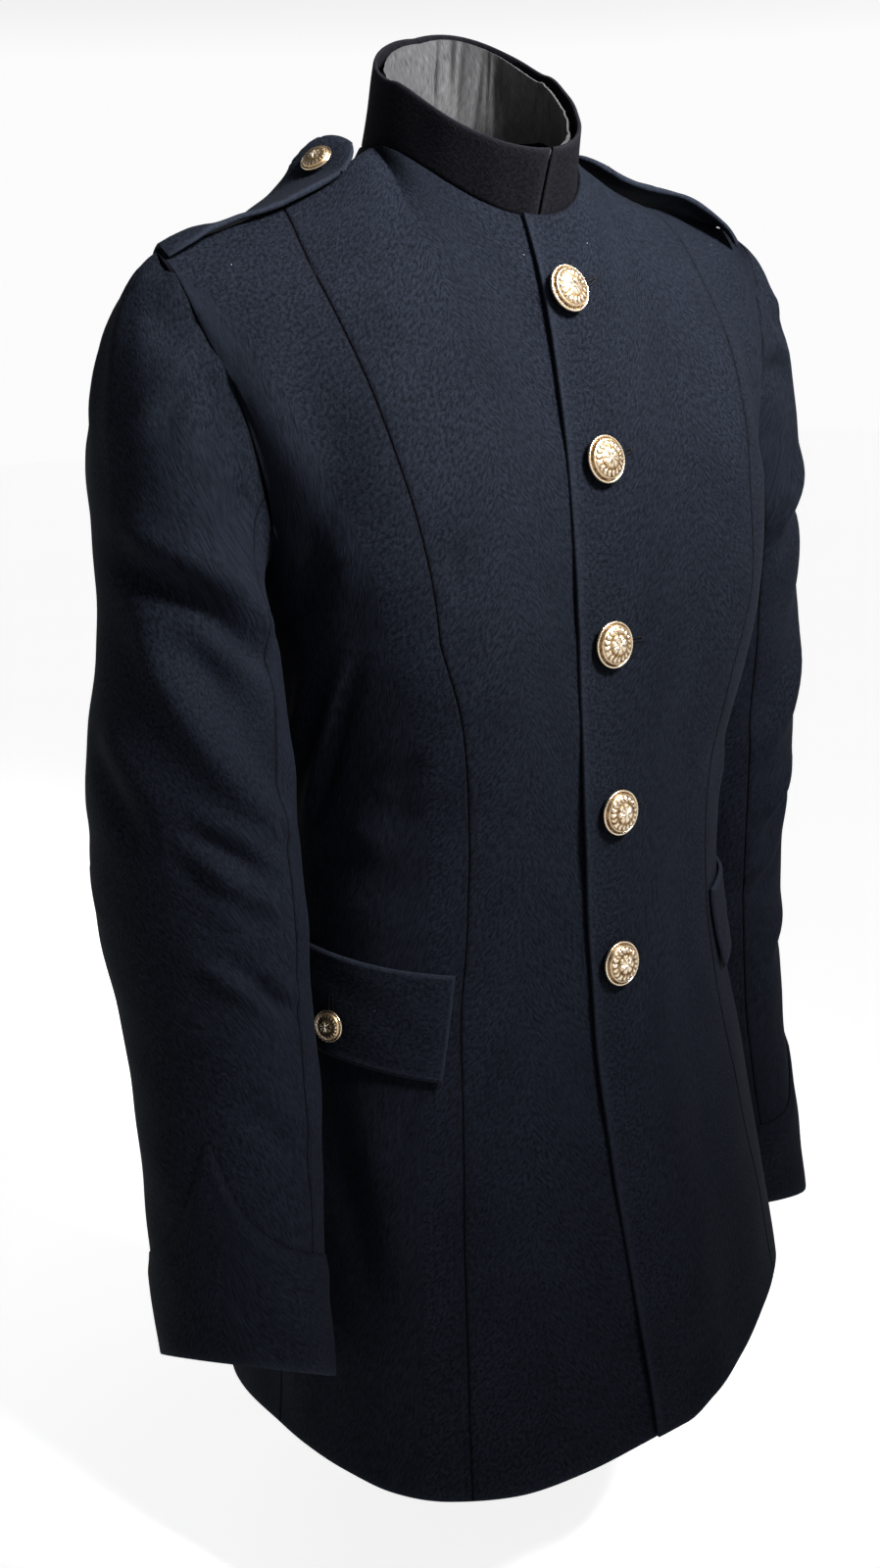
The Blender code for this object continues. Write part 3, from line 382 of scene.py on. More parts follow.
def relaxed(points, columns, rows):
    """The upper body's rows, each evened out along its columns by a local straight-line fit."""
    apart = columns[None] - columns[:, None]
    weight = np.exp(-((apart / RELAX_COLUMNS) ** 2)) * np.gradient(columns)
    total = weight.sum(axis=1, keepdims=True)
    first = (weight * apart).sum(axis=1, keepdims=True)
    second = (weight * apart**2).sum(axis=1, keepdims=True)
    even = weight * (second - apart * first) / (total * second - first**2)
    away = (columns - SIDE_SEAM) / UNDERARM_COLUMNS
    clear = (1 - np.exp(-(away**2)))[:, None]
    points = points.copy()
    for i in np.flatnonzero(rows < UPPER_ROWS):
        share = rows[i] / UPPER_ROWS
        strength = clear * ease(share / RELAX_FADES[0]) * ease((1 - share) / RELAX_FADES[1])
        points[i] = (1 - strength) * points[i] + strength * (even @ points[i])
    points[:, -1, 0] = 0
    return points


def half_torso(reach_at, side):
    """Half the body, as the wearer's left."""
    columns, rows = BODY_COLUMNS, BODY_ROWS
    top = top_edge(columns, reach_at(NECK.front_z), side)
    angles = ring_angles(columns, CHEST_Z, reach_at(CHEST_Z))
    chest = torso(angles, CHEST_Z)
    down = unit(torso(angles, CHEST_Z - STEP_DOWN) - chest)
    front = (columns <= SIDE_SEAM)[:, None]
    leave = np.where(front, directions(FRONT_LEAVING, columns), directions(BACK_LEAVING, columns))
    pull = PULL * np.linalg.norm(chest - top, axis=-1, keepdims=True)
    grid = []
    for row in rows:
        if row <= UPPER_ROWS:
            grid.append(hermite(row / UPPER_ROWS, top, pull * leave, chest, pull * down))
            continue
        share = (row - UPPER_ROWS) / LOWER_ROWS
        z = CHEST_Z + (HEM_Z - CHEST_Z) * share
        angles = ring_angles(columns, z, reach_at(z))
        drop = HEM_Z - read_table(HEM, side, angles)
        grid.append(torso(angles, z - drop * share**2))
    points = relaxed(np.array(grid), columns, rows)
    normals = outward(points)
    normals[:, -1, 0] = 0
    level_out = np.exp(-(((columns - SIDE_SEAM) / UNDERARM_COLUMNS) ** 2))[:, None]
    upper = rows < UPPER_ROWS
    chest_row = int(np.argmin(np.abs(rows - UPPER_ROWS)))
    normals[upper] = (1 - level_out) * normals[upper] + level_out * normals[chest_row]
    return Surface(columns, rows, points, unit(normals))


def left_reach(z):
    """How far the left front reaches past the centre."""
    return read_table(FRONT_EDGE, "reach", z)


def right_reach(z):
    """How far the right front reaches past the centre, the same at every height."""
    return UNDERLAP + 0 * z


def lap_lift(x):
    """The left front rides over the right one near its edge."""
    return (WALL + LAP_GAP) * ease((LAP_FADE[1] - x) / (LAP_FADE[1] - LAP_FADE[0]))


def posed(points):
    """The points with the tunic's tilt."""
    points = np.array(points, float)
    share = ease((points[..., 2] - LEAN_FADE[1]) / (LEAN_FADE[0] - LEAN_FADE[1]))
    points[..., 2] += LEAN * points[..., 0] * share
    return points


# Sleeves, as the wearer's left: centre, half width and half depth at each level, and how its ring slants.
Arm = namedtuple("Arm", "z x y half_width half_depth front_up out_up")
RIGHT_ARM = [
    Arm(-0.243, 0.2050, -0.020, 0.0435, 0.0540, 0.00, 0.00),
    Arm(-0.307, 0.2110, -0.023, 0.0500, 0.0610, 0.00, 0.00),
    Arm(-0.370, 0.2118, -0.028, 0.0510, 0.0610, 0.00, 0.00),
    Arm(-0.441, 0.2122, -0.039, 0.0468, 0.0560, 0.04, 0.04),
    Arm(-0.531, 0.2207, -0.059, 0.0440, 0.0510, 0.14, 0.20),
    Arm(-0.6105, 0.2290, -0.077, 0.0410, 0.0460, 0.27, 0.48),
]
LEFT_ARM = [
    Arm(-0.239, 0.2060, 0.002, 0.0430, 0.0545, 0.00, 0.00),
    Arm(-0.304, 0.2065, 0.010, 0.0480, 0.0590, 0.00, 0.00),
    Arm(-0.360, 0.2070, 0.013, 0.0490, 0.0590, 0.00, 0.00),
    Arm(-0.430, 0.2070, 0.013, 0.0460, 0.0550, 0.00, 0.00),
    Arm(-0.530, 0.2095, 0.008, 0.0440, 0.0510, 0.05, -0.05),
    Arm(-0.683, 0.2240, -0.010, 0.0410, 0.0460, 0.20, -0.15),
]
ARM_ROWS = 13
HEAD_ROWS = 6
CUFF_ROW = HEAD_ROWS + ARM_ROWS
SLEEVE_COLUMNS = 16
FOREARM_SEAM = 5
ELBOW_SEAM = 11
SLEEVE_FIRST = ELBOW_SEAM - SLEEVE_COLUMNS
SLEEVE_PLACES = spread((SLEEVE_FIRST, FOREARM_SEAM, ELBOW_SEAM), 6, (0.04, 0.09))
SLEEVE_ROWS = np.concatenate(
    [spread((0, HEAD_ROWS), 9, (0.02, 0.05)), spread((HEAD_ROWS, CUFF_ROW), 10, (0.015, 0.04))[1:]]
)
# The sleeve's normals are taken with one more column past each end, so far away.
PAST_SEAM = 0.04
HEAD_PULL = 0.75
# The arm's axis is taken between two places so far above and below.
AXIS_STEP = 0.01
# The way that the sleeve's cloth leaves the armhole.
SLEEVE_LEAVING = [
    Leaving(0, 0.93, 0.00, -0.36),
    Leaving(2, 0.88, -0.08, -0.46),
    Leaving(4, 0.79, 0.06, -0.61),
    Leaving(6, 0.70, 0.03, -0.72),
    Leaving(8, 0.66, 0.00, -0.74),
    Leaving(10, 0.66, 0.10, -0.74),
    Leaving(12, 0.66, 0.34, -0.68),
    Leaving(14, 0.86, 0.32, -0.42),
    Leaving(16, 0.93, 0.00, -0.36),
]
# The share of the body's own way out in the sleeve's wall at the armhole: half way down, and more at the tip.
WALL_IN_LINE = (0.6, 1.2)
WALL_TURNS = 1.2

# The cuff's height, by how many columns away from its point.
CUFF_POINT_COLUMN = 1.9
CuffEdge = namedtuple("CuffEdge", "away height")
CUFF_EDGE = [
    CuffEdge(0.00, 0.1160),
    CuffEdge(0.10, 0.1142),
    CuffEdge(0.22, 0.1070),
    CuffEdge(0.45, 0.0940),
    CuffEdge(0.80, 0.0800),
    CuffEdge(1.30, 0.0685),
    CuffEdge(2.10, 0.0600),
    CuffEdge(3.20, 0.0570),
    CuffEdge(8.00, 0.0570),
]
# The cuff thins at its turned top edge: to which share, and over what length.
CUFF_TURN = (0.16, 0.012)
CUFF_ROLL = 0.0003
# The cuff's points: the columns between two of them away from its peak, and their shares of its height.
CUFF_STEP = 0.2
CUFF_SHARES = np.concatenate([[1, 0.985, 0.965, 0.93], np.linspace(0.9, 0.04, 26), [0.015, 0]])


def arm(table, column, z):
    """A point of the arm's tube: column 0 faces out, a quarter of the columns on faces forward."""
    z = np.asarray(z, float)
    centre, ahead, behind = (
        np.stack([read_table(table, "x", at), read_table(table, "y", at), at], axis=-1)
        for at in (z, z - AXIS_STEP, z + AXIS_STEP)
    )
    axis = unit(ahead - behind)
    out = unit(np.array([1.0, 0.0, 0.0]) - axis * axis[..., :1])
    forward = np.cross(axis, out)
    forward *= -np.sign(forward[..., 1:2])
    turn = 2 * pi * np.asarray(column) / SLEEVE_COLUMNS
    width = read_table(table, "half_width", z) * np.cos(turn)
    depth = read_table(table, "half_depth", z) * np.sin(turn)
    points = centre + width[..., None] * out + depth[..., None] * forward
    points[..., 2] += read_table(table, "front_up", z) * depth + read_table(table, "out_up", z) * width
    return points


def sleeve_surface(table, body, side):
    """The sleeve's outer face from the armhole down, its columns from the elbow seam round the outside."""
    columns = np.concatenate([[SLEEVE_FIRST - PAST_SEAM], SLEEVE_PLACES, [ELBOW_SEAM + PAST_SEAM]])
    around = columns % SLEEVE_COLUMNS
    armhole = top_edge(SHOULDER_TIP + around, UNDERLAP, side)
    leave = directions(SLEEVE_LEAVING, around)
    start = armhole + leave * ARMHOLE_GAP
    top_z = table[0].z
    ring = arm(table, around, top_z + 0 * around)
    down = unit(arm(table, around, top_z - STEP_DOWN + 0 * around) - ring)
    pull = HEAD_PULL * np.linalg.norm(ring - start, axis=-1, keepdims=True)
    grid = []
    for row in SLEEVE_ROWS:
        if row <= HEAD_ROWS:
            grid.append(hermite(row / HEAD_ROWS, start, pull * leave, ring, pull * down))
        else:
            z = top_z + (table[-1].z - top_z) * (row - HEAD_ROWS) / ARM_ROWS
            grid.append(arm(table, around, z + 0 * around))
    points = np.array(grid)
    normals = -outward(points)
    half_way, over = WALL_IN_LINE
    share = np.clip(half_way + over * np.cos(2 * pi * around / SLEEVE_COLUMNS), 0, 1)
    share = share[None] * np.exp(-((SLEEVE_ROWS[:, None] / WALL_TURNS) ** 2))
    beside = read(body, SHOULDER_TIP + around, np.zeros(around.shape), body.normals)
    normals = unit(normals + share[..., None] * (beside - normals))
    return Surface(columns[1:-1], SLEEVE_ROWS, points[:, 1:-1], normals[:, 1:-1])


# A crease has a path of (column, row) places on the cloth, half the width of its mark, and how far it stands
# out, or goes in where that is below nothing. Its ridge is a share of that, and lies on the side that the
# ridge's sign gives.
Crease = namedtuple("Crease", "path width depth ridge")
CREASE_STEPS = 60
CREASE_REACH = 4
CREASE_ENDS = (0.02, 0.98)
CREASE_FADE = 0.8
RIDGE_AWAY = 1.9


def creased(surface, creases):
    """The surface with its creases, each fading out at both ends of its path."""
    points = surface.points.copy()
    flat = points.reshape(-1, 3)
    normals = surface.normals.reshape(-1, 3)
    share = np.linspace(0, 1, CREASE_STEPS)
    for crease in creases:
        path = run_along(crease.path, share)
        spine = read(surface, path[:, 0], path[:, 1])
        tangent = unit(np.gradient(spine, axis=0))
        reach = CREASE_REACH * crease.width
        near = np.all((flat > spine.min(axis=0) - reach) & (flat < spine.max(axis=0) + reach), axis=1)
        if not near.any():
            continue
        away = flat[near][:, None] - spine[None]
        distance = np.linalg.norm(away, axis=-1)
        k = distance.argmin(axis=1)
        pick = np.arange(len(k))
        sideways = np.cross(tangent[k], normals[near])
        signed = np.sum(away[pick, k] * sideways, axis=-1) / crease.width
        past = np.abs(np.sum(away[pick, k] * tangent[k], axis=-1)) / crease.width
        fade = np.sin(pi * np.clip(share[k], *CREASE_ENDS)) ** CREASE_FADE * np.exp(-(past**2))
        mark = np.exp(-(signed**2))
        beside = abs(crease.ridge) * np.exp(-((signed - RIDGE_AWAY * np.sign(crease.ridge)) ** 2))
        flat[near] += normals[near] * (crease.depth * fade * (mark - beside))[:, None]
    return surface._replace(points=flat.reshape(points.shape))


# The slight unevenness of pressed cloth: its height, the length of its waves, and the seed of their chance.
Waves = namedtuple("Waves", "height length seed")
BODY_WAVES = {"left": Waves(0.0006, 0.055, 3), "right": Waves(0.0006, 0.055, 4)}
SLEEVE_WAVES = {"left": Waves(0.0007, 0.045, 13), "right": Waves(0.0007, 0.045, 14)}
COLLAR_WAVES = Waves(0.00035, 0.03, 5)
STRAP_WAVES = Waves(0.00035, 0.03, 8)
FLAP_WAVES = Waves(0.0003, 0.03, 21)
WAVE_COUNT = 9
WAVE_RANGE = (0.7, 1.7)


def uneven(surface, waves):
    """The surface with a few soft waves that cross each other."""
    chance = np.random.default_rng(waves.seed)
    points = surface.points
    total = np.zeros(points.shape[:2])
    for _ in range(WAVE_COUNT):
        way = unit(chance.normal(size=3)) * 2 * pi / (waves.length * chance.uniform(*WAVE_RANGE))
        total += np.sin(points @ way + chance.uniform(0, 2 * pi))
    height = total * waves.height / WAVE_COUNT**0.5
    return surface._replace(points=points + surface.normals * height[..., None])


ALL_EDGES = ("top", "bottom", "first", "last")


def edge_distance(points, tube=False, edges=ALL_EDGES):
    """How far each point is from the nearest of its piece's edges: of all of them, or of the ones named."""
    down, across = arc(points, 0), arc(points, 1)
    found = {"top": down, "bottom": down[-1:] - down, "first": across, "last": across[:, -1:] - across}
    away = np.full(down.shape, 1.0)
    for edge in edges:
        if not (tube and edge in ("first", "last")):
            away = np.minimum(away, found[edge])
    return away


def rolled(points, normals, tube=False, depth=ROLL_DEPTH, reach=ROLL_REACH):
    """The outer skin turned in at its edges."""
    away = edge_distance(points, tube)
    return points - normals * (depth * np.clip(1 - away / reach, 0, 1) ** 2)[..., None]


def in_scene(name, data):
    """An object of that name in the scene."""
    made = bpy.data.objects.new(name, data)
    bpy.context.scene.collection.objects.link(made)
    return made


def closed(grid):
    """A tube's grid with its first column once more at the end."""
    return np.concatenate([grid, grid[:, :1]], axis=1)


def quads(grid):
    """The four corners of each square of a grid."""
    return grid[:-1, :-1], grid[:-1, 1:], grid[1:, 1:], grid[1:, :-1]


def shell(name, outer, inner, finish, tube, sewn_edges):
    """A closed thin shell between two grids, with a map in metres along its cloth, and marks at its edges of
    wear and of painted seam shade.
    """
    count = outer.shape[0] * outer.shape[1]
    index = np.arange(count).reshape(outer.shape[:2])
    if tube:
        index = closed(index)
    ends = closed(outer) if tube else outer
    chart = np.stack([arc(ends, 1), arc(ends, 0)], axis=-1)
    place = np.arange(chart.shape[0] * chart.shape[1]).reshape(chart.shape[:2])
    faces, places = [], []
    for found, grid, inside in ((faces, index, count), (places, place, 0)):
        a, b, c, d = quads(grid)
        found.append(np.stack([a, d, c, b], -1).reshape(-1, 4))
        found.append(np.stack([a, b, c, d], -1).reshape(-1, 4) + inside)
        edges = [(grid[0], 1), (grid[-1], -1)]
        if not tube:
            edges += [(grid[:, 0], -1), (grid[:, -1], 1)]
        for line, turn in edges:
            one, two = line[:-1], line[1:]
            found.append(np.stack([one, two, two + inside, one + inside], -1)[:, ::turn])
    points = np.concatenate([outer.reshape(-1, 3), inner.reshape(-1, 3)])
    mesh = bpy.data.meshes.new(name)
    mesh.from_pydata(points.tolist(), [], np.concatenate(faces).tolist())
    chart = chart.reshape(-1, 2)[np.concatenate(places).reshape(-1)]
    mesh.uv_layers.new(name="cloth").data.foreach_set("uv", chart.reshape(-1).astype(np.float32))
    free_edges = [edge for edge in ALL_EDGES if edge not in sewn_edges]
    # The seam mark holds painted shade along the sewn edges, for the shadow in their crevice; the worn mark
    # is real wear.
    for label, edges, reach in (("worn", free_edges, WEAR_REACH), ("seam", sewn_edges, SEAM_SHADE_REACH)):
        mark = np.exp(-edge_distance(outer, tube, edges) / reach).reshape(-1)
        mark = np.concatenate([mark, mark * INSIDE_MARK]).astype(np.float32)
        mesh.attributes.new(label, "FLOAT", "POINT").data.foreach_set("value", mark)
    bm = bmesh.new()
    bm.from_mesh(mesh)
    bmesh.ops.recalc_face_normals(bm, faces=bm.faces)
    bm.to_mesh(mesh)
    bm.free()
    mesh.materials.append(finish)
    mesh.shade_smooth()
    mesh.set_sharp_from_angle(angle=radians(CLOTH_SHARP))
    return in_scene(name, mesh)


def cut_size(outer, tube=False):
    """The flat width, length and area of a cloth piece."""
    ends = closed(outer) if tube else outer
    width = float(arc(ends, 1)[:, -1].max())
    length = float(arc(ends, 0)[-1].max())
    a, b, c, d = quads(ends)
    area = float((np.linalg.norm(np.cross(c - a, d - b), axis=-1) / 2).sum())
    return width, length, min(area, width * length)


def sewn(node, outer, inner, finish, slot, held, rests_on, tube=False, seams=()):
    """Makes a cloth piece in place of its solid and works out the size that it was cut to."""
    piece = shell(node + "_cloth", posed(outer), posed(inner), finish, tube, seams)
    width, length, area = cut_size(posed(outer), tube)
    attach(piece, "root")
    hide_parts(node)


def side_piece(side, name, outer, inner, finish, held, rests_on, **more):
    """A cloth piece that each side has, from grids made as the wearer's left."""
    node = f"{name}_{side.name}"
    sewn(node, outer * side.flip, inner * side.flip, finish, "navy_barathea", held, rests_on, **more)


def cloths(side, *names):
    """The names of that side's own cloth pieces."""
    return [f"{name}_{side.name}_cloth" for name in names]


def plug(tree, socket, value):
    """Links a node's output to the socket, or sets the socket to a plain value."""
    if isinstance(value, bpy.types.NodeSocket):
        tree.links.new(value, socket)
    else:
        socket.default_value = value


def add(tree, kind, inputs=None, **settings):
    """A node with its settings, its inputs either linked or set."""
    made = tree.nodes.new(kind)
    for name, value in settings.items():
        setattr(made, name, value)
    for name, value in (inputs or {}).items():
        plug(tree, made.inputs[name], value)
    return made


def new_material(name, **sockets):
    """A material with its shader's sockets set, its node tree and the shader."""
    made = bpy.data.materials.new(name)
    made.use_nodes = True
    shader = made.node_tree.nodes["Principled BSDF"]
    for socket, value in sockets.items():
        shader.inputs[socket.replace("_", " ")].default_value = value
    return made, made.node_tree, shader


def grey(level):
    """A colour without a tint."""
    return (level, level, level)


def ramp(tree, value, stops):
    """A value turned into colours, from its (place, colour) stops."""
    made = add(tree, "ShaderNodeValToRGB", {"Fac": value})
    elements = made.color_ramp.elements
    while len(elements) < len(stops):
        elements.new(0.5)
    for element, (place, colour) in zip(elements, stops):
        element.position = place
        element.color = (*colour, 1)
    return made.outputs["Color"]


def shades(tree, kind, one, two, share):
    """Two colours mixed or multiplied by a share."""
    made = add(tree, "ShaderNodeMix", data_type="RGBA", blend_type=kind)
    plug(tree, made.inputs[0], share)
    for socket, colour in ((made.inputs[6], one), (made.inputs[7], two)):
        plug(tree, socket, (*colour, 1) if isinstance(colour, tuple) else colour)
    return made.outputs[2]


def reckon(tree, kind, one, two):
    """Two values added, multiplied or compared."""
    made = add(tree, "ShaderNodeMath", operation=kind)
    plug(tree, made.inputs[0], one)
    plug(tree, made.inputs[1], two)
    return made.outputs[0]


def noise(tree, place, scale, detail, roughness=0.5):
    """Soft marks without order, so many to the metre."""
    inputs = {"Vector": place, "Scale": scale, "Detail": detail, "Roughness": roughness}
    return add(tree, "ShaderNodeTexNoise", inputs).outputs["Fac"]


def point_mark(tree, name):
    """A mark that the piece's own points carry."""
    return add(tree, "ShaderNodeAttribute", attribute_name=name).outputs["Fac"]


def drawn_threads(tree, chart, turn, narrow, scale, detail):
    """Short broken threads, drawn out along one direction of the cloth."""
    place = {"Vector": chart, "Rotation": (0, 0, radians(turn))}
    turned = add(tree, "ShaderNodeMapping", place).outputs["Vector"]
    long = add(tree, "ShaderNodeMapping", {"Vector": turned, "Scale": (1.0, narrow, 1.0)})
    return noise(tree, long.outputs["Vector"], scale, detail)


def emboss(tree, shader, height, strength, distance):
    """The surface's small bumps."""
    bump = add(tree, "ShaderNodeBump", {"Height": height, "Strength": strength, "Distance": distance})
    plug(tree, shader.inputs["Normal"], bump.outputs["Normal"])


# Threads: their turn in degrees, how they are narrowed, how many to the metre, and their detail.
RIB = (63, 0.20, 1500.0, 1.0)
WEFT = (-38, 0.34, 1250.0, 1.0)
SATIN_THREADS = (0, 0.12, 1500.0, 2.0)
# Noise: how many marks to the metre, their detail and their roughness.
NAP = (470.0, 4.0, 0.7)
CLOUDS = (26.0, 4.0, 0.6)
WEAVE_CONTRAST = 2.6
WEAVE_SHARE = 0.8
WEAVE_HEIGHT = 0.7
# Rubbed edges are a paler cloth, and sewn seams get a painted shade, nearly black, for the shadow in their
# crevice; each is mixed in by a share.
RUB_GAIN = 2.6
RUB_PALER = 0.004
RUB_SHARE = 0.30
SEAM_PAINTED_SHADE = (0.0012, 0.0012, 0.0016)
SEAM_SHADE_SHARE = 0.85
# Lint: cells to the metre, the share of cells left without a speck, a speck's size in cells, and its colour.
LINT_CELLS = 46.0
LINT_FREE = 0.86
LINT_SIZE = 0.022
LINT_COLOUR = (0.11, 0.12, 0.14)


def barathea(name, dark, light, sheen, sheen_tint):
    """Worsted wool with a fine broken rib, a soft nap, paler worn edges, painted shade along its seams and a
    few specks of lint.
    """
    made, tree, shader = new_material(
        name,
        Roughness=0.85,
        Specular_IOR_Level=0.02,
        Sheen_Weight=sheen,
        Sheen_Roughness=0.45,
        Sheen_Tint=(*sheen_tint, 1),
    )
    chart = add(tree, "ShaderNodeUVMap", uv_map="cloth").outputs["UV"]
    threads = [drawn_threads(tree, chart, *kind) for kind in (RIB, WEFT)]
    weave = reckon(tree, "MULTIPLY", reckon(tree, "MULTIPLY", *threads), WEAVE_CONTRAST)
    nap = noise(tree, chart, *NAP)
    cloudy = ramp(tree, noise(tree, chart, *CLOUDS), [(0.25, (0.80, 0.80, 0.82)), (0.75, (1.16, 1.16, 1.14))])
    woven = ramp(tree, weave, [(0.0, (0.62, 0.62, 0.64)), (0.8, grey(1.2))])
    colour = shades(tree, "MULTIPLY", ramp(tree, nap, [(0.40, dark), (0.61, light)]), cloudy, 1.0)
    colour = shades(tree, "MULTIPLY", colour, woven, WEAVE_SHARE)
    rubbed = tuple(RUB_GAIN * c + RUB_PALER for c in light)
    lint = add(tree, "ShaderNodeTexVoronoi", {"Vector": chart, "Scale": LINT_CELLS, "Randomness": 1.0})
    cell = add(tree, "ShaderNodeSeparateColor", {"Color": lint.outputs["Color"]}).outputs[0]
    chosen = reckon(tree, "GREATER_THAN", cell, LINT_FREE)
    speck = reckon(tree, "LESS_THAN", lint.outputs["Distance"], LINT_SIZE)
    for shade, share in (
        (rubbed, reckon(tree, "MULTIPLY", point_mark(tree, "worn"), RUB_SHARE)),
        # Painted shade, nearly black, along the sewn seams.
        (SEAM_PAINTED_SHADE, reckon(tree, "MULTIPLY", point_mark(tree, "seam"), SEAM_SHADE_SHARE)),
        (LINT_COLOUR, reckon(tree, "MULTIPLY", speck, chosen)),
    ):
        colour = shades(tree, "MIX", colour, shade, share)
    plug(tree, shader.inputs["Base Color"], colour)
    height = reckon(tree, "ADD", reckon(tree, "MULTIPLY", weave, WEAVE_HEIGHT), nap)
    emboss(tree, shader, height, 0.55, 0.00035)
    return made


def satin():
    """Black satin with drawn threads, for the band inside the collar."""
    made, tree, shader = new_material(
        "black_satin_band", Roughness=0.42, Specular_IOR_Level=0.30, Sheen_Weight=0.04, Sheen_Roughness=0.3
    )
    chart = add(tree, "ShaderNodeUVMap", uv_map="cloth").outputs["UV"]
    thread = drawn_threads(tree, chart, *SATIN_THREADS)
    colour = ramp(tree, thread, [(0.3, (0.014, 0.014, 0.015)), (0.7, (0.054, 0.054, 0.057))])
    plug(tree, shader.inputs["Base Color"], colour)
    emboss(tree, shader, thread, 0.3, 0.0002)
    return made


def gilt():
    """Polished gilt brass, browner in the hollows of its pattern and finely scratched."""
    made, tree, shader = new_material("gilt_button_brass", Metallic=1.0)
    place = add(tree, "ShaderNodeTexCoord").outputs["Object"]
    stain = reckon(tree, "MULTIPLY", noise(tree, place, 420.0, 4.0), 0.5)
    share = reckon(tree, "ADD", stain, point_mark(tree, "relief"))
    brown, warm, bright = (0.10, 0.052, 0.022), (0.56, 0.41, 0.24), (0.92, 0.81, 0.65)
    plug(tree, shader.inputs["Base Color"], ramp(tree, share, [(0.20, brown), (0.50, warm), (0.90, bright)]))
    plug(tree, shader.inputs["Roughness"], ramp(tree, share, [(0.2, grey(0.46)), (0.9, grey(0.17))]))
    emboss(tree, shader, noise(tree, place, 2600.0, 2.0), 0.12, 0.0001)
    return made


def silk_thread(name, dark, light):
    """Buttonhole twist: a plied thread, nearly without a gloss."""
    made, tree, shader = new_material(name, Roughness=0.6, Specular_IOR_Level=0.06)
    ply = noise(tree, add(tree, "ShaderNodeTexCoord").outputs["Object"], 2400.0, 2.0)
    plug(tree, shader.inputs["Base Color"], ramp(tree, ply, [(0.3, dark), (0.7, light)]))
    emboss(tree, shader, ply, 0.4, 0.0001)
    return made


BODY_CREASES = {
    "right": [
        Crease(
            [(14.6, 8.05), (15.95, 8.75), (16.98, 9.36), (18.15, 10.06), (19.4, 10.80)], 0.0040, 0.0044, 0.9
        ),
        Crease([(16.9, 8.20), (17.9, 8.90), (19.2, 9.60), (20.8, 10.1)], 0.0060, 0.0036, 0.7),
        Crease([(12.1, 2.40), (12.4, 3.90), (12.95, 4.77), (14.2, 5.90)], 0.0170, -0.0059, 0.2),
        Crease([(15.0, 4.60), (15.6, 5.80), (17.0, 6.90)], 0.0090, -0.0033, 0.5),
        Crease([(10.5, 6.70), (9.5, 6.52)], 0.0035, -0.0016, 0.4),
        Crease([(10.15, 6.60), (10.15, 7.35)], 0.0035, -0.0016, -0.4),
        Crease([(16.8, 10.55), (14.5, 11.10)], 0.0130, 0.0031, 0.3),
        Crease([(12.6, 9.60), (14.6, 10.10)], 0.0080, -0.0021, 0.4),
        Crease([(18.0, 14.60), (16.5, 16.30), (15.6, 17.60)], 0.0110, -0.0031, 0.3),
        Crease([(20.6, 15.20), (20.2, 17.40), (20.0, 19.80)], 0.0160, 0.0039, 0.3),
        Crease([(22.0, 9.10), (25.5, 10.10), (28.6, 9.90)], 0.0070, -0.0039, 0.6),
        Crease([(25.5, 10.60), (30.5, 11.40), (35.5, 11.00)], 0.0090, -0.0042, -0.6),
        Crease([(31.5, 9.60), (36.5, 10.00)], 0.0080, -0.0026, 0.5),
        Crease([(28.4, 1.20), (27.4, 3.00), (26.6, 4.80)], 0.0090, -0.0047, 0.5),
        Crease([(26.0, 14.20), (26.6, 17.00), (27.0, 19.80)], 0.0180, 0.0044, 0.3),
        Crease([(33.4, 13.80), (33.9, 17.00), (34.2, 19.90)], 0.0170, 0.0039, 0.3),
    ],
    "left": [
        Crease([(14.9, 8.40), (16.4, 9.10), (18.0, 9.90), (19.6, 10.60)], 0.0045, 0.0039, 0.8),
        Crease([(12.2, 2.60), (12.7, 4.20), (14.0, 5.70)], 0.0160, -0.0052, 0.2),
        Crease([(15.4, 5.00), (16.8, 6.40)], 0.0080, -0.0029, 0.5),
        Crease([(14.2, 10.50), (12.6, 11.20)], 0.0120, 0.0023, 0.3),
        Crease([(17.2, 14.90), (16.3, 17.20)], 0.0120, -0.0031, 0.3),
        Crease([(20.8, 14.60), (20.4, 17.00), (20.2, 19.80)], 0.0170, 0.0039, 0.3),
        Crease([(22.4, 9.50), (26.4, 10.30), (29.4, 10.00)], 0.0075, -0.0039, 0.6),
        Crease([(26.4, 11.30), (31.0, 11.90), (35.8, 11.30)], 0.0090, -0.0039, -0.6),
        Crease([(28.6, 1.40), (27.8, 3.20), (27.2, 4.60)], 0.0085, -0.0042, 0.5),
        Crease([(27.2, 14.60), (27.8, 17.20), (28.2, 19.80)], 0.0180, 0.0042, 0.3),
        Crease([(34.6, 14.00), (34.9, 17.00), (35.1, 19.90)], 0.0160, 0.0034, 0.3),
    ],
}
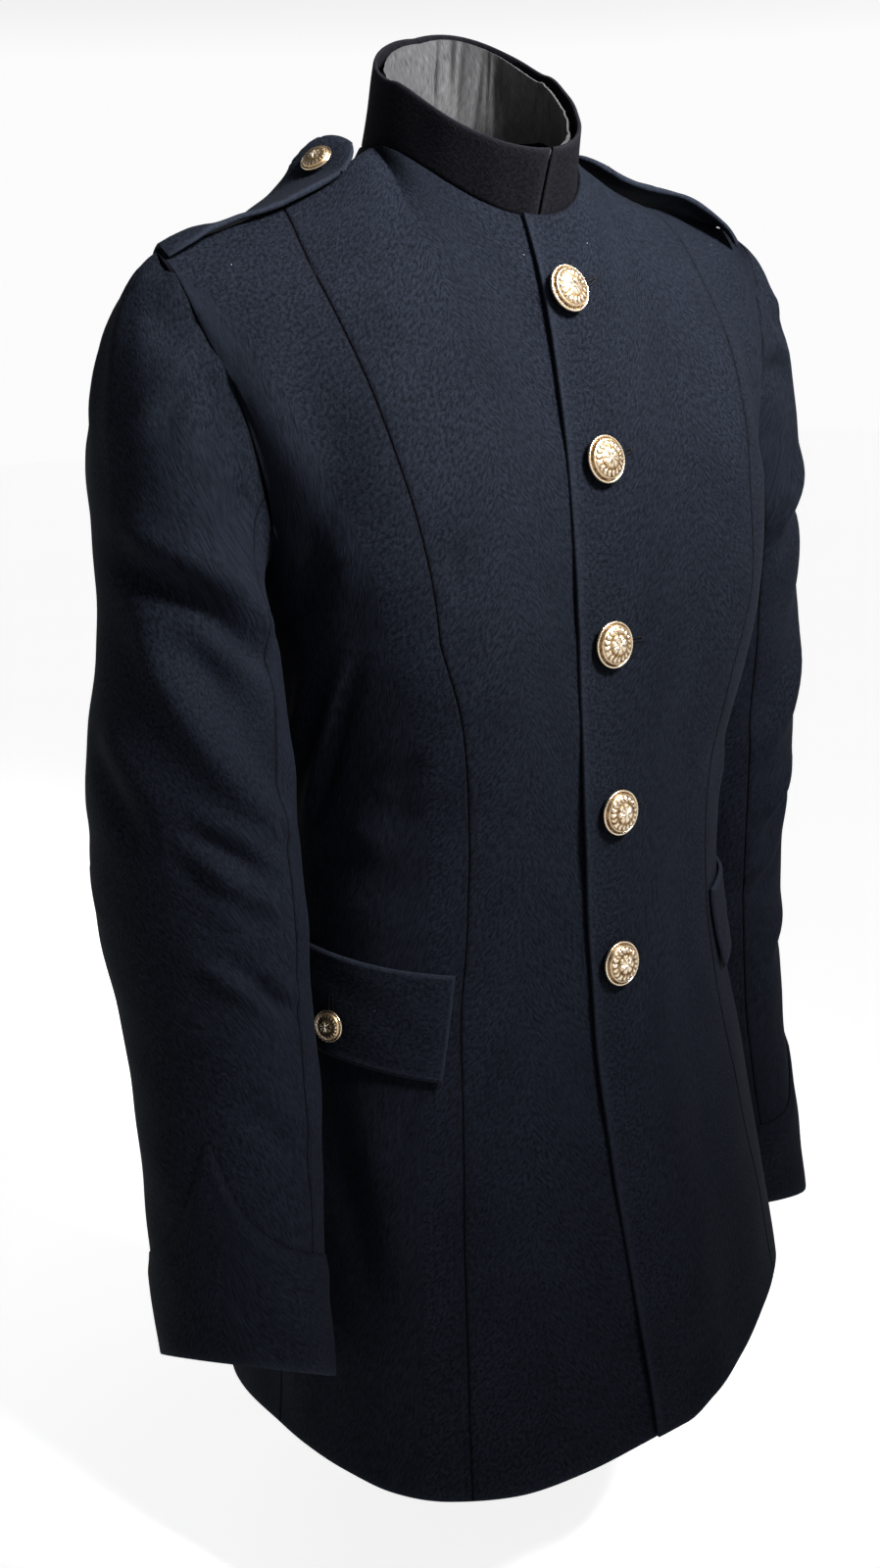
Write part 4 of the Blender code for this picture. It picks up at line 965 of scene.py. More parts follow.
SLEEVE_CREASES = {
    "right": [
        Crease([(1.6, 2.20), (2.1, 1.40), (2.5, 0.70), (2.75, 0.0)], 0.0060, -0.0049, 0.7),
        Crease([(2.6, 1.90), (3.1, 0.90), (3.5, 0.10)], 0.0055, -0.0038, 0.7),
        Crease([(0.6, 1.20), (1.4, 0.60), (2.3, 0.10)], 0.0101, -0.0038, 0.4),
        Crease([(3.4, 3.20), (4.1, 2.00), (4.5, 0.80)], 0.0074, -0.0041, 0.6),
        Crease(
            [(-0.2, 4.2), (0.9, 4.32), (1.9, 4.38), (3, 4.55), (4.1, 5.1), (5.4, 6.05)], 0.0087, -0.0076, 0.8
        ),
        Crease(
            [(0.6, 4.6), (1.5, 5.75), (2.8, 7.3), (3.75, 8.2), (4.5, 8.8), (5.7, 9.35)], 0.0097, 0.0068, 0.6
        ),
        Crease([(2.0, 5.20), (3.4, 6.20), (4.8, 7.40)], 0.0092, -0.0030, 0.4),
        Crease([(2.1, 8.70), (3.2, 9.30), (4.5, 10.20)], 0.0056, -0.0036, 0.7),
        Crease([(1.8, 9.20), (3.0, 10.10), (4.2, 11.00)], 0.0056, -0.0032, 0.7),
        Crease([(2.6, 9.30), (3.1, 10.10), (3.5, 10.80)], 0.0083, 0.0035, 0.0),
        Crease([(3.3, 11.80), (4.0, 12.30), (5.0, 12.80)], 0.0046, -0.0038, 0.7),
        Crease([(2.2, 11.30), (3.2, 12.00), (4.3, 12.70)], 0.0046, 0.0035, 0.5),
        Crease([(2.6, 14.00), (3.6, 14.80), (4.7, 15.40)], 0.0074, -0.0024, 0.5),
        Crease([(-0.8, 7.20), (0.4, 8.20), (1.4, 9.60)], 0.0101, -0.0035, 0.5),
        Crease([(-4.4, 8.60), (-3.2, 9.30), (-1.6, 9.10)], 0.0078, -0.0049, 0.6),
        Crease([(-4.8, 10.30), (-3.4, 10.80), (-2.0, 10.60)], 0.0074, -0.0046, 0.6),
        Crease([(-3.6, 12.20), (-2.4, 12.90)], 0.0069, -0.0030, 0.5),
        Crease([(-2.4, 0.40), (-3.1, 1.60), (-3.6, 3.00)], 0.0074, -0.0046, 0.6),
        Crease([(-1.1, 0.60), (-1.8, 2.40)], 0.0083, -0.0032, 0.5),
        Crease([(7.0, 7.60), (8.2, 8.30), (9.6, 8.20)], 0.0074, -0.0046, 0.6),
        Crease([(6.4, 9.20), (7.8, 9.90), (9.4, 10.0)], 0.0074, -0.0043, 0.6),
    ],
    "left": [
        Crease([(2.4, 2.20), (3.1, 1.30), (3.7, 0.70), (4.2, 0.10)], 0.0055, -0.0046, 0.7),
        Crease([(1.4, 1.90), (2.2, 0.90), (2.7, 0.10)], 0.0064, -0.0038, 0.6),
        Crease([(-0.1, 4.40), (1.4, 4.60), (2.9, 4.90), (4.6, 5.80)], 0.0087, -0.0059, 0.7),
        Crease([(0.9, 6.00), (2.3, 7.60), (3.7, 8.80), (5.2, 9.60)], 0.0097, 0.0054, 0.6),
        Crease([(1.9, 9.80), (3.1, 10.50), (4.4, 11.20)], 0.0055, -0.0046, 0.7),
        Crease([(2.6, 11.20), (3.6, 11.80), (4.9, 12.30)], 0.0055, -0.0041, 0.7),
        Crease([(0.4, 12.60), (1.8, 13.30), (3.4, 14.0)], 0.0083, -0.0032, 0.5),
        Crease([(-4.2, 9.40), (-3.0, 10.10), (-1.4, 9.80)], 0.0078, -0.0049, 0.6),
        Crease([(-4.7, 11.20), (-3.2, 11.70), (-1.8, 11.40)], 0.0074, -0.0043, 0.6),
        Crease([(-2.2, 0.50), (-2.9, 1.80), (-3.3, 3.20)], 0.0074, -0.0043, 0.6),
        Crease([(6.8, 8.80), (8.0, 9.50), (9.4, 9.30)], 0.0074, -0.0043, 0.6),
        Crease([(-0.6, 7.80), (0.4, 8.90), (1.2, 10.20)], 0.0101, -0.0032, 0.5),
    ],
}

# Each body piece: its columns, the cloth that it rests on, and its sewn edges.
BodyPiece = namedtuple("BodyPiece", "name first last rests_on seams")
BACKS = ["back_left_cloth", "back_right_cloth"]
BODY_PIECES = (
    BodyPiece("front", 0, PRINCESS, BACKS, ("top", "last")),
    BodyPiece("side_front", PRINCESS, SIDE_SEAM, BACKS, ("top", "first", "last")),
    BodyPiece("back", SIDE_SEAM, CENTRE_BACK, ["collar_cloth"], ("top", "first", "last")),
)


def cut_out(surface, first, last):
    """The part of the surface from one column to another."""
    kept = (surface.columns >= first - 1e-6) & (surface.columns <= last + 1e-6)
    return Surface(surface.columns[kept], surface.rows, surface.points[:, kept], surface.normals[:, kept])


def body_piece(side, kind, surface, finish):
    """One piece of the body; the left front is lifted over the right one."""
    base = surface.points
    if kind.name == "front" and side.name == "left":
        base = base + surface.normals * lap_lift(base[..., 0])[..., None]
    outer = rolled(base, surface.normals)
    inner = base - surface.normals * WALL
    side_piece(side, kind.name, outer, inner, finish, "hung", kind.rests_on, seams=kind.seams)
    return surface._replace(points=base)


def sleeve_pieces(side, surface, finish):
    """The top sleeve and the under sleeve."""
    rests_on = cloths(side, "front", "back")
    for name, first, last in (
        ("sleeve_top", SLEEVE_FIRST, FOREARM_SEAM),
        ("sleeve_under", FOREARM_SEAM, ELBOW_SEAM),
    ):
        part = cut_out(surface, first, last)
        outer = rolled(part.points, part.normals)
        inner = part.points - part.normals * WALL
        side_piece(side, name, outer, inner, finish, "hung", rests_on, seams=("top", "first", "last"))


def cuff_height(column):
    """The cuff's top edge above its hem: level, rising in a hollow curve to one point on the outside."""
    away = np.abs((column - CUFF_POINT_COLUMN + SLEEVE_COLUMNS / 2) % SLEEVE_COLUMNS - SLEEVE_COLUMNS / 2)
    return read_table(CUFF_EDGE, "height", away)


def cuff_piece(side, surface, finish):
    """A second layer over the sleeve's end, thin at its turned top edge."""
    step = (side.arm[0].z - side.arm[-1].z) / ARM_ROWS
    even = np.arange(0, SLEEVE_COLUMNS, CUFF_STEP)
    point = (CUFF_POINT_COLUMN - SLEEVE_FIRST) % SLEEVE_COLUMNS + np.linspace(-1, 1, 31)
    column = SLEEVE_FIRST + np.unique(np.round(np.concatenate([even, point]), 4))
    row = CUFF_ROW - CUFF_SHARES[:, None] * cuff_height(column)[None] / step
    column = np.broadcast_to(column, row.shape)
    base = read(surface, column, row)
    way = unit(read(surface, column, row, surface.normals))
    thin, turn = CUFF_TURN
    thick = WALL * (thin + (1 - thin) * ease(arc(base, 0) / turn))
    outer = rolled(base + way * (LAY_GAP + thick)[..., None], way, tube=True, depth=CUFF_ROLL)
    inner = base + way * LAY_GAP
    rests_on = cloths(side, "sleeve_top", "sleeve_under")
    side_piece(side, "cuff", outer, inner, finish, "laid", rests_on, tube=True, seams=("top",))


# The collar's rim rises a little towards the wearer's left, and once more at the back on that side.
RIM_LEAN = 0.02
RIM_CORNER = 0.0055
# The collar's lower edge goes below the neck seam, and its ends meet beside the centre front, a little apart.
COLLAR_LIFT = -0.0006
COLLAR_MEETING = -0.0016
COLLAR_PARTING = 0.0012
COLLAR_ROLLS = (0.0008, 0.0006)
# The ends slant to the wearer's left towards the rim: by how many degrees, and over how many this fades.
COLLAR_SLANT = (3.3, 60.0)
# The lining's thickness, how far it stays below the rim, how deep its gathers are, and how many degrees it
# ends before the collar does.
LINING_WALL = 0.0010
LINING_DROP = 0.0025
LINING_DEPTH = 0.0023
LINING_SHORT = 1.5
LINING_COLUMNS = 430
LINING_ROWS = 15
# The lining's gathers: how many, their slant, width and height, their middle and length down the band, how
# much crowding is evened out, and how full they become.
GATHERS = 46
GATHER_SLANT = 3.5
GATHER_WIDTH = (1.3, 3.2)
GATHER_HEIGHT = (0.35, 1.0)
GATHER_MIDDLE = (0.1, 0.6)
GATHER_LENGTH = (0.35, 0.7)
GATHER_CROWD = 1.4
GATHER_FULL = 1.3
GATHER_SEED = 11


def rim(angle):
    """A point of the collar's rim, at an angle in degrees from the centre front."""
    points = neck_ring(RIM, angle)
    turn = np.radians(angle)
    corner = 2 * np.clip(np.sin(turn), 0, 1) * np.clip(-np.cos(turn), 0, 1)
    points[..., 2] += RIM_LEAN * points[..., 0] + RIM_CORNER * corner
    return points


def collar_grid(angles, share):
    """The stand collar's outer points, its rim on top, and the way out from its wall."""
    away = np.minimum(np.abs(angles), np.abs(360 - angles))
    base = neck_ring(NECK, angles)
    top = rim(angles + COLLAR_SLANT[0] * np.clip(1 - away / COLLAR_SLANT[1], 0, 1))
    rise = unit(top - base)
    base = base + rise * COLLAR_LIFT
    share = np.asarray(share)[:, None, None]
    points = top * (1 - share) + base * share
    out = unit(np.cross(rise, np.gradient(points[-1], axis=0)))
    out *= np.sign(np.sum(out * (points[-1] - [0, NECK.side_y, 0]), axis=-1, keepdims=True))
    return points, np.broadcast_to(out, points.shape).copy()


def gathered(angles, share):
    """How full the lining's gathers stand, from none to GATHER_FULL."""
    chance = np.random.default_rng(GATHER_SEED)
    total = np.zeros((len(share), len(angles)))
    for _ in range(GATHERS):
        place = chance.uniform(angles[0], angles[-1])
        slant = chance.normal(0, GATHER_SLANT)
        width = chance.uniform(*GATHER_WIDTH)
        height = chance.uniform(*GATHER_HEIGHT)
        middle = chance.uniform(*GATHER_MIDDLE)
        length = chance.uniform(*GATHER_LENGTH)
        line = (angles[None] - place - slant * share) / width
        total += height * np.exp(-(line**2)) * np.exp(-(((share - middle) / length) ** 2))
    fade = np.sin(pi * np.clip(share * 0.9 + 0.1, 0, 1)) ** 0.5
    return np.clip(total / GATHER_CROWD, 0, GATHER_FULL) * fade


def collar_pieces(finish, lining_finish):
    """The stand collar and the satin band inside it."""
    radius = NECK.side_y - NECK.front_y
    left_end = np.degrees(COLLAR_MEETING / radius)
    right_end = 360 + np.degrees((COLLAR_MEETING - COLLAR_PARTING) / radius)
    angles = spread((left_end, right_end), 0.45, (0.4, 1.0))
    share = spread((0, 1), 14, (0.012, 0.03))
    outer, way = collar_grid(angles, share)
    outer = uneven(Surface(angles, share, outer, way), COLLAR_WAVES).points
    inner = rolled(outer - way * COLLAR_WALL, -way, depth=COLLAR_ROLLS[1])
    outer = rolled(outer, way, depth=COLLAR_ROLLS[0])
    rests_on = ["front_left_cloth", "front_right_cloth"]
    sewn("collar", outer, inner, finish, "navy_barathea", "stretched", rests_on, seams=("bottom",))

    angles = np.linspace(left_end + LINING_SHORT, right_end - LINING_SHORT, LINING_COLUMNS)
    share = np.linspace(0, 1, LINING_ROWS)[:, None]
    outer, way = collar_grid(angles, [0, 1])
    hang = unit(outer[1] - outer[0])
    ends = outer[[0, -1]] + hang * np.array([LINING_DROP, -LAY_GAP])[:, None, None]
    skin = ends[0] * (1 - share[..., None]) + ends[1] * share[..., None]
    way = np.broadcast_to(way[:1], skin.shape)
    sag = COLLAR_WALL + 2 * LAY_GAP + LINING_DEPTH * (GATHER_FULL - gathered(angles, share))
    near = skin - way * sag[..., None]
    far = near - way * LINING_WALL
    sewn("collar_lining", near, far, lining_finish, "black_satin", "gathered", ["collar_cloth"])


# A strap's size; how its rows crowd towards its inner end, how far that end's corners are drawn back and how
# much of a half circle they follow; and its space from the armhole seam.
STRAP_OUTER_WIDTH = 0.056
STRAP_INNER_WIDTH = 0.037
STRAP_LENGTH = 0.133
STRAP_THICKNESS = 0.0032
STRAP_BUTTON_FROM_END = 0.0180
STRAP_END_CURVE = 0.85
STRAP_ROUNDING = 0.62
STRAP_END_REACH = 0.99
STRAP_CLEAR = 0.001
STRAP_LENGTHS = spread((0, 1), 44, (0.008, 0.02))
STRAP_SIDES = spread((-1, 1), 14, (0.03, 0.08))
# How deep a strap's and a flap's edges roll, on top and underneath, and how far in.
STRAP_ROLLS = (0.0012, 0.0008)
FLAP_ROLL = 0.0013
THICK_ROLL_REACH = 0.0022

# Along a strap: how far its middle lies behind the shoulder seam and stands off the shoulder, the degrees by
# which its rear edge is tipped up, and how far it is a flat board rather than laid to the shoulder.
Board = namedtuple("Board", "share back height tip flat")
RIGHT_STRAP = [
    Board(0.00, 0.0200, 0.0014, 0, 0.0),
    Board(0.10, 0.0185, 0.0070, -3, 0.3),
    Board(0.22, 0.0167, 0.0105, -7, 0.7),
    Board(0.35, 0.0147, 0.0098, -8, 1.0),
    Board(0.50, 0.0125, 0.0072, -7, 1.0),
    Board(0.66, 0.0100, 0.0068, -3, 1.0),
    Board(0.76, 0.0086, 0.0078, 4, 1.0),
    Board(0.86, 0.0070, 0.0098, 15, 1.0),
    Board(1.00, 0.0040, 0.0136, 33, 1.0),
]
LEFT_STRAP = [
    Board(0.00, 0.0060, 0.0020, 0, 0.0),
    Board(0.10, 0.0060, 0.0032, -10, 0.4),
    Board(0.25, 0.0060, 0.0067, -9, 0.7),
    Board(0.40, 0.0060, 0.0085, -8, 1.0),
    Board(0.55, 0.0056, 0.0062, -8, 1.0),
    Board(0.70, 0.0053, 0.0042, -5, 1.0),
    Board(1.00, 0.0050, 0.0036, -2, 1.0),
]


def shoulder_place(body, along, across):
    """On the shoulder: along runs in from the tip in columns, across runs back from the seam in metres."""
    rows = np.linspace(0, UPPER_ROWS, 65)
    base = np.empty(along.shape + (3,))
    way = np.empty(along.shape + (3,))
    for index in np.ndindex(along.shape):
        column = BACK_TIP + along[index] if across[index] > 0 else SHOULDER_TIP - along[index]
        places = np.full(rows.shape, column)
        line = read(body, places, rows)
        ways = read(body, places, rows, body.normals)
        run = arc(line)
        base[index] = [np.interp(abs(across[index]), run, line[:, k]) for k in range(3)]
        way[index] = [np.interp(abs(across[index]), run, ways[:, k]) for k in range(3)]
    return base, unit(way)


def strap_surface(body, table):
    """A strap's underside, as the wearer's left, from the armhole seam to its rounded end by the collar."""
    columns = np.linspace(BACK_TIP, BACK_NECK, 41)
    runs = arc(read(body, columns, np.zeros(columns.shape)))
    share, side = np.meshgrid(STRAP_LENGTHS**STRAP_END_CURVE, STRAP_SIDES, indexing="ij")
    half = side * (STRAP_OUTER_WIDTH + (STRAP_INNER_WIDTH - STRAP_OUTER_WIDTH) * share) / 2
    back_off = STRAP_INNER_WIDTH * STRAP_ROUNDING * (1 - np.sqrt(1 - (STRAP_END_REACH * side) ** 2))
    inward = share * (STRAP_LENGTH - back_off) + STRAP_CLEAR
    along = np.interp(inward, runs, columns - BACK_TIP)
    back, height, tip, flat = (
        read_table(table, name, inward / (STRAP_LENGTH + STRAP_CLEAR)) for name in Board._fields[1:]
    )
    laid, way = shoulder_place(body, along, back + half)
    laid = laid + way * height[..., None]
    middle, way = shoulder_place(body, along, back)
    middle = middle + way * height[..., None]
    run = unit(np.gradient(middle, axis=0))
    rear = unit(np.array([0.0, 1.0, 0.0]) - run * run[..., 1:2])
    up = np.cross(run, rear)
    up *= np.sign(up[..., 2:3])
    tip = np.radians(tip)[..., None]
    board = middle + half[..., None] * (np.cos(tip) * rear + np.sin(tip) * up)
    under = laid + (board - laid) * flat[..., None]
    out = outward(under)
    out *= np.sign(out[..., 2:3])
    return Surface(STRAP_SIDES, STRAP_LENGTHS, under, out)


def strap_piece(side, body, finish):
    """A shoulder strap; returns its top face."""
    under = strap_surface(body, side.strap)
    top = under._replace(points=under.points + under.normals * STRAP_THICKNESS)
    top = uneven(top, STRAP_WAVES)
    outer = rolled(top.points, top.normals, depth=STRAP_ROLLS[0], reach=THICK_ROLL_REACH)
    inner = rolled(under.points, -under.normals, depth=STRAP_ROLLS[1], reach=THICK_ROLL_REACH)
    side_piece(side, "strap", outer, inner, finish, "laid", cloths(side, "front", "back"))
    return top


# A hip flap hangs from a top edge that rises to the rear, between two angles from the centre front. It stands
# off the body by its gap, and by more towards its lower edge. Its sides draw in by its skew, in degrees.
FLAP_TOP_Z = -0.4219
FLAP_HEIGHT = 0.056
FLAP_RISE = 0.0206
FLAP_FRONT_ANGLE = 51.0
FLAP_BACK_ANGLE = 103.0
FLAP_THICKNESS = 0.0026
FLAP_SKEW = 4.0
FLAP_GAP = 0.0010
FLAP_STAND = 0.0012
FLAP_BUTTON_SHARE = 0.70
FLAP_SHARES = spread((0, 1), 60, (0.008, 0.018))
FLAP_DOWNS = spread((0, 1), 30, (0.015, 0.035))
# The pressed line inside the flap's edge: how far in, its half width and its depth.
FLAP_LINE = (0.0042, 0.0011, 0.00035)


def flap_surface(body):
    """The left hip flap's outer face, made from the body's own points and moved out."""
    share, down = np.meshgrid(FLAP_SHARES, FLAP_DOWNS, indexing="xy")
    angle = FLAP_FRONT_ANGLE + (FLAP_BACK_ANGLE - FLAP_FRONT_ANGLE) * share
    angle = angle + FLAP_SKEW * down * (1 - 2 * share)
    z = FLAP_TOP_Z + FLAP_RISE * share - FLAP_HEIGHT * down
    row = UPPER_ROWS + (CHEST_Z - z) / (CHEST_Z - HEM_Z) * LOWER_ROWS
    seam = read_table(LEVELS, "seam_angle", z)
    front = (SIDE_SEAM - PRINCESS) * (angle - seam) / (90 - seam) + PRINCESS
    back = (CENTRE_BACK - SIDE_SEAM) * (angle - 90) / 90 + SIDE_SEAM
    column = np.where(angle < 90, front, back)
    way = unit(read(body, column, row, body.normals))
    base = read(body, column, row) + way * (FLAP_GAP + FLAP_THICKNESS)
    return Surface(FLAP_SHARES, FLAP_DOWNS, base, way)


def flap_piece(side, body, finish):
    """A hip flap, which stands off the body more towards its lower edge; returns its outer face."""
    outer = uneven(flap_surface(body), FLAP_WAVES)
    inset, width, depth = FLAP_LINE
    pressed = np.exp(-(((edge_distance(outer.points) - inset) / width) ** 2)) * depth
    skin = outer.points - outer.normals * pressed[..., None]
    skin = rolled(skin, outer.normals, depth=FLAP_ROLL, reach=THICK_ROLL_REACH)
    stand = FLAP_STAND * outer.rows[:, None] ** 2
    skin = skin + outer.normals * stand[..., None]
    inner = outer.points - outer.normals * (FLAP_THICKNESS - stand)[..., None]
    side_piece(side, "flap", skin, inner, finish, "hung", cloths(side, "side_front", "back"))
    return outer._replace(points=skin)


# A button's radius and shank, and how many rings and turns of points its dome has.
Button = namedtuple("Button", "radius shank rings turns")
FRONT_BUTTON = Button(0.0127, 0.0025, 30, 112)
SMALL_BUTTON = Button(0.0087, 0.0016, 20, 72)
# How far the small buttons are turned, and each front button more than the one before.
SMALL_SPIN = 0.4
FRONT_SPIN = 0.25
# The front buttons' heights, and how far each stands to the wearer's left of the centre.
ButtonPlace = namedtuple("ButtonPlace", "z x")
FRONT_BUTTONS = [
    ButtonPlace(-0.0735, -0.0020),
    ButtonPlace(-0.1605, 0.0030),
    ButtonPlace(-0.2560, 0.0010),
    ButtonPlace(-0.3475, 0.0020),
    ButtonPlace(-0.4330, 0.0000),
]
# In radii of the button: the dome's half width and rise, the brim above the shank, the ring that the edge's
# rope follows, and the rope's half thickness. Then the rope's turns and how much they swell.
DOME_HALF_WIDTH = 0.90
DOME_RISE = 0.34
BRIM_RISE = 0.10
ROPE_RING = 0.945
ROPE_HALF = 0.055
ROPE_TURNS = 44
ROPE_SWELL = 0.22
# The pattern on the dome, in radii too: where it ends, over what it fades and what counts as tall; where its
# wreath and its plain ring lie, how far its rosette and its boss reach, and how high each of them stands.
PATTERN_END = 0.88
PATTERN_FADE = 0.04
PATTERN_TALL = 0.065
LEAVES = 18
LEAF_SLANT = 16
PETALS = 7
WREATH_RING = 0.63
WREATH_HALF = 0.105
PLAIN_RING = 0.80
PLAIN_HALF = 0.022
ROSETTE_REACH = 0.44
BOSS_REACH = 0.10
WREATH_RISE = 0.040
RING_RISE = 0.028
ROSETTE_RISE = 0.070
BOSS_RISE = 0.050


def button_relief(share, turn):
    """The pattern's height over the dome, in radii: a rosette inside a wreath of leaves and a plain ring."""
    side = np.sign(np.sin(turn) + 1e-9)
    middle = share - WREATH_RING
    leaf = np.sin(LEAVES * turn + side * LEAF_SLANT * np.abs(middle) + pi / 2)
    wreath = np.clip(leaf + 0.35, 0, 1.35) * np.exp(-((middle / WREATH_HALF) ** 4))
    ring = np.exp(-(((share - PLAIN_RING) / PLAIN_HALF) ** 2))
    petal = 0.5 + 0.5 * np.cos(PETALS * turn + pi / 2)
    rosette = petal**0.7 * np.sin(pi * np.clip(share / ROSETTE_REACH, 0, 1)) ** 1.2
    vein = 1 - 0.45 * np.exp(-((np.sin(PETALS * turn / 2 + pi / 4) / 0.25) ** 2))
    boss = np.exp(-((share / BOSS_REACH) ** 4))
    return WREATH_RISE * wreath + RING_RISE * ring + ROSETTE_RISE * rosette * vein + BOSS_RISE * boss


def button_mesh(name, kind):
    """A domed button with a roped edge, standing on its shank, crown upwards."""
    radius, shank, rings, turns = kind
    brim = shank + BRIM_RISE * radius
    angle = np.linspace(0, pi / 2, rings)[1:]
    turn = np.linspace(0, 2 * pi, turns, endpoint=False)
    grid_angle, grid_turn = np.meshgrid(angle, turn, indexing="ij")
    share = DOME_HALF_WIDTH * np.sin(grid_angle)
    relief = button_relief(share, grid_turn) * np.clip((PATTERN_END - share) / PATTERN_FADE, 0, 1)
    wide = radius * (share + relief * np.sin(grid_angle) * 0.6)
    high = brim + radius * (DOME_RISE * np.cos(grid_angle) + relief * np.cos(grid_angle) ** 0.5)
    rows = list(zip(wide, high, np.clip(relief / PATTERN_TALL, 0, 1)))
    for step in np.linspace(-0.15, 1.0, 9):
        swell = 1 + ROPE_SWELL * np.sin(ROPE_TURNS * turn + 5 * step)
        around = pi * (1 - step)
        wide = radius * (ROPE_RING + ROPE_HALF * np.cos(around) * np.where(step > 0.5, 1.0, swell))
        high = brim + radius * ROPE_HALF * np.sin(around) * swell * 1.3
        rows.append((np.minimum(wide, radius), high, np.clip(0.45 + 0.9 * (swell - 1), 0, 1)))
    for wide, high in ((0.985, shank + 0.03 * radius), (0.95, shank), (0.28, shank), (0.24, 0.0)):
        rows.append((np.full(turns, radius * wide), np.full(turns, high), np.full(turns, 0.1)))
    points = [(0.0, 0.0, brim + radius * (DOME_RISE + 0.05))]
    marks = [1.0]
    for wide, high, mark in rows:
        points += list(zip(wide * np.cos(turn), wide * np.sin(turn), high))
        marks += list(mark)
    faces = [(0, 1 + i, 1 + (i + 1) % turns) for i in range(turns)]
    for row in range(len(rows) - 1):
        first, second = 1 + row * turns, 1 + (row + 1) * turns
        for i in range(turns):
            k = (i + 1) % turns
            faces.append((first + i, second + i, second + k, first + k))
    last = 1 + (len(rows) - 1) * turns
    points.append((0.0, 0.0, 0.0))
    marks.append(0.0)
    faces += [(len(points) - 1, last + (i + 1) % turns, last + i) for i in range(turns)]
    mesh = bpy.data.meshes.new(name)
    mesh.from_pydata([tuple(map(float, p)) for p in points], [], faces)
    mesh.attributes.new("relief", "FLOAT", "POINT").data.foreach_set("value", np.array(marks, np.float32))
    return mesh


def button(node, seat, way, kind, finish, spin):
    """A button on the cloth at the seat, its dome facing the way given."""
    mesh = button_mesh(node + "_gilt", kind)
    way = Vector(way).normalized()
    turn = way.to_track_quat("Z", "Y").to_matrix().to_4x4()
    place = Matrix.Translation(Vector(posed(seat)) + way * BUTTON_GAP)
    mesh.transform(place @ turn @ Matrix.Rotation(spin, 4, "Z"))
    mesh.materials.append(finish)
    mesh.shade_smooth()
    mesh.set_sharp_from_angle(angle=radians(BUTTON_SHARP))
    piece = in_scene(node + "_gilt", mesh)
    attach(piece, "root")
    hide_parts(node)


# The share of the cloth's columns and rows over which its ways at a seat are taken.
SEAT_STEP = 0.02


def seat_on(surface, column, row):
    """A place on the cloth, the way out of it, and the way down its rows and along its columns."""
    column, row = np.array([float(column)]), np.array([float(row)])
    step_c = SEAT_STEP * (surface.columns[-1] - surface.columns[0])
    step_r = SEAT_STEP * (surface.rows[-1] - surface.rows[0])
    along = read(surface, column + step_c, row)[0] - read(surface, column - step_c, row)[0]
    down = read(surface, column, row + step_r)[0] - read(surface, column, row - step_r)[0]
    out = unit(read(surface, column, row, surface.normals)[0])
    return read(surface, column, row)[0], out, along / (2 * step_c), down / (2 * step_r)


# A buttonhole: half the space between its rows of stitches, how far these stand off the cloth, and where it
# begins and ends past its button.
HOLE_GAP = 0.0011
HOLE_LIFT = 0.00015
FLAP_HOLE = (-0.016, 0.002)
FRONT_HOLE = (-0.002, 0.0195)
# The step from stitch to stitch, how long each is, its thread, and by how much their lengths differ.
STITCH_SIZES = {"Spacing": 0.00042, "Stitch length": 0.0017, "Thread": 0.00046}
STITCH_RANGE = (0.86, 1.08)
STITCH_SEED = 4


def hole_path(surface, column, row, first, last, upright, flip):
    """The closed path round a buttonhole's slit, from first to last past the seat, and the ways out."""
    _, _, along, down = seat_on(surface, column, row)
    slope = 0.0 if upright else -along[2] / down[2]
    per_column, per_row = 1 / np.linalg.norm(along + slope * down), 1 / np.linalg.norm(down)
    length = np.linspace(first, last, 26)
    across = HOLE_GAP * np.ones(len(length))
    ends = np.linspace(0, pi, 7)[1:-1]
    past, beside = HOLE_GAP * np.sin(ends), HOLE_GAP * np.cos(ends)
    a = np.concatenate([length, last + past, length[::-1], first - past])
    b = np.concatenate([across, beside, -across, -beside])
    if upright:
        a, b = b, a
    columns = column + a * per_column
    rows = row + b * per_row + (columns - column) * slope
    points = read(surface, columns, rows) * flip
    out = unit(read(surface, columns, rows, surface.normals)) * flip
    return posed(points) + out * HOLE_LIFT, out


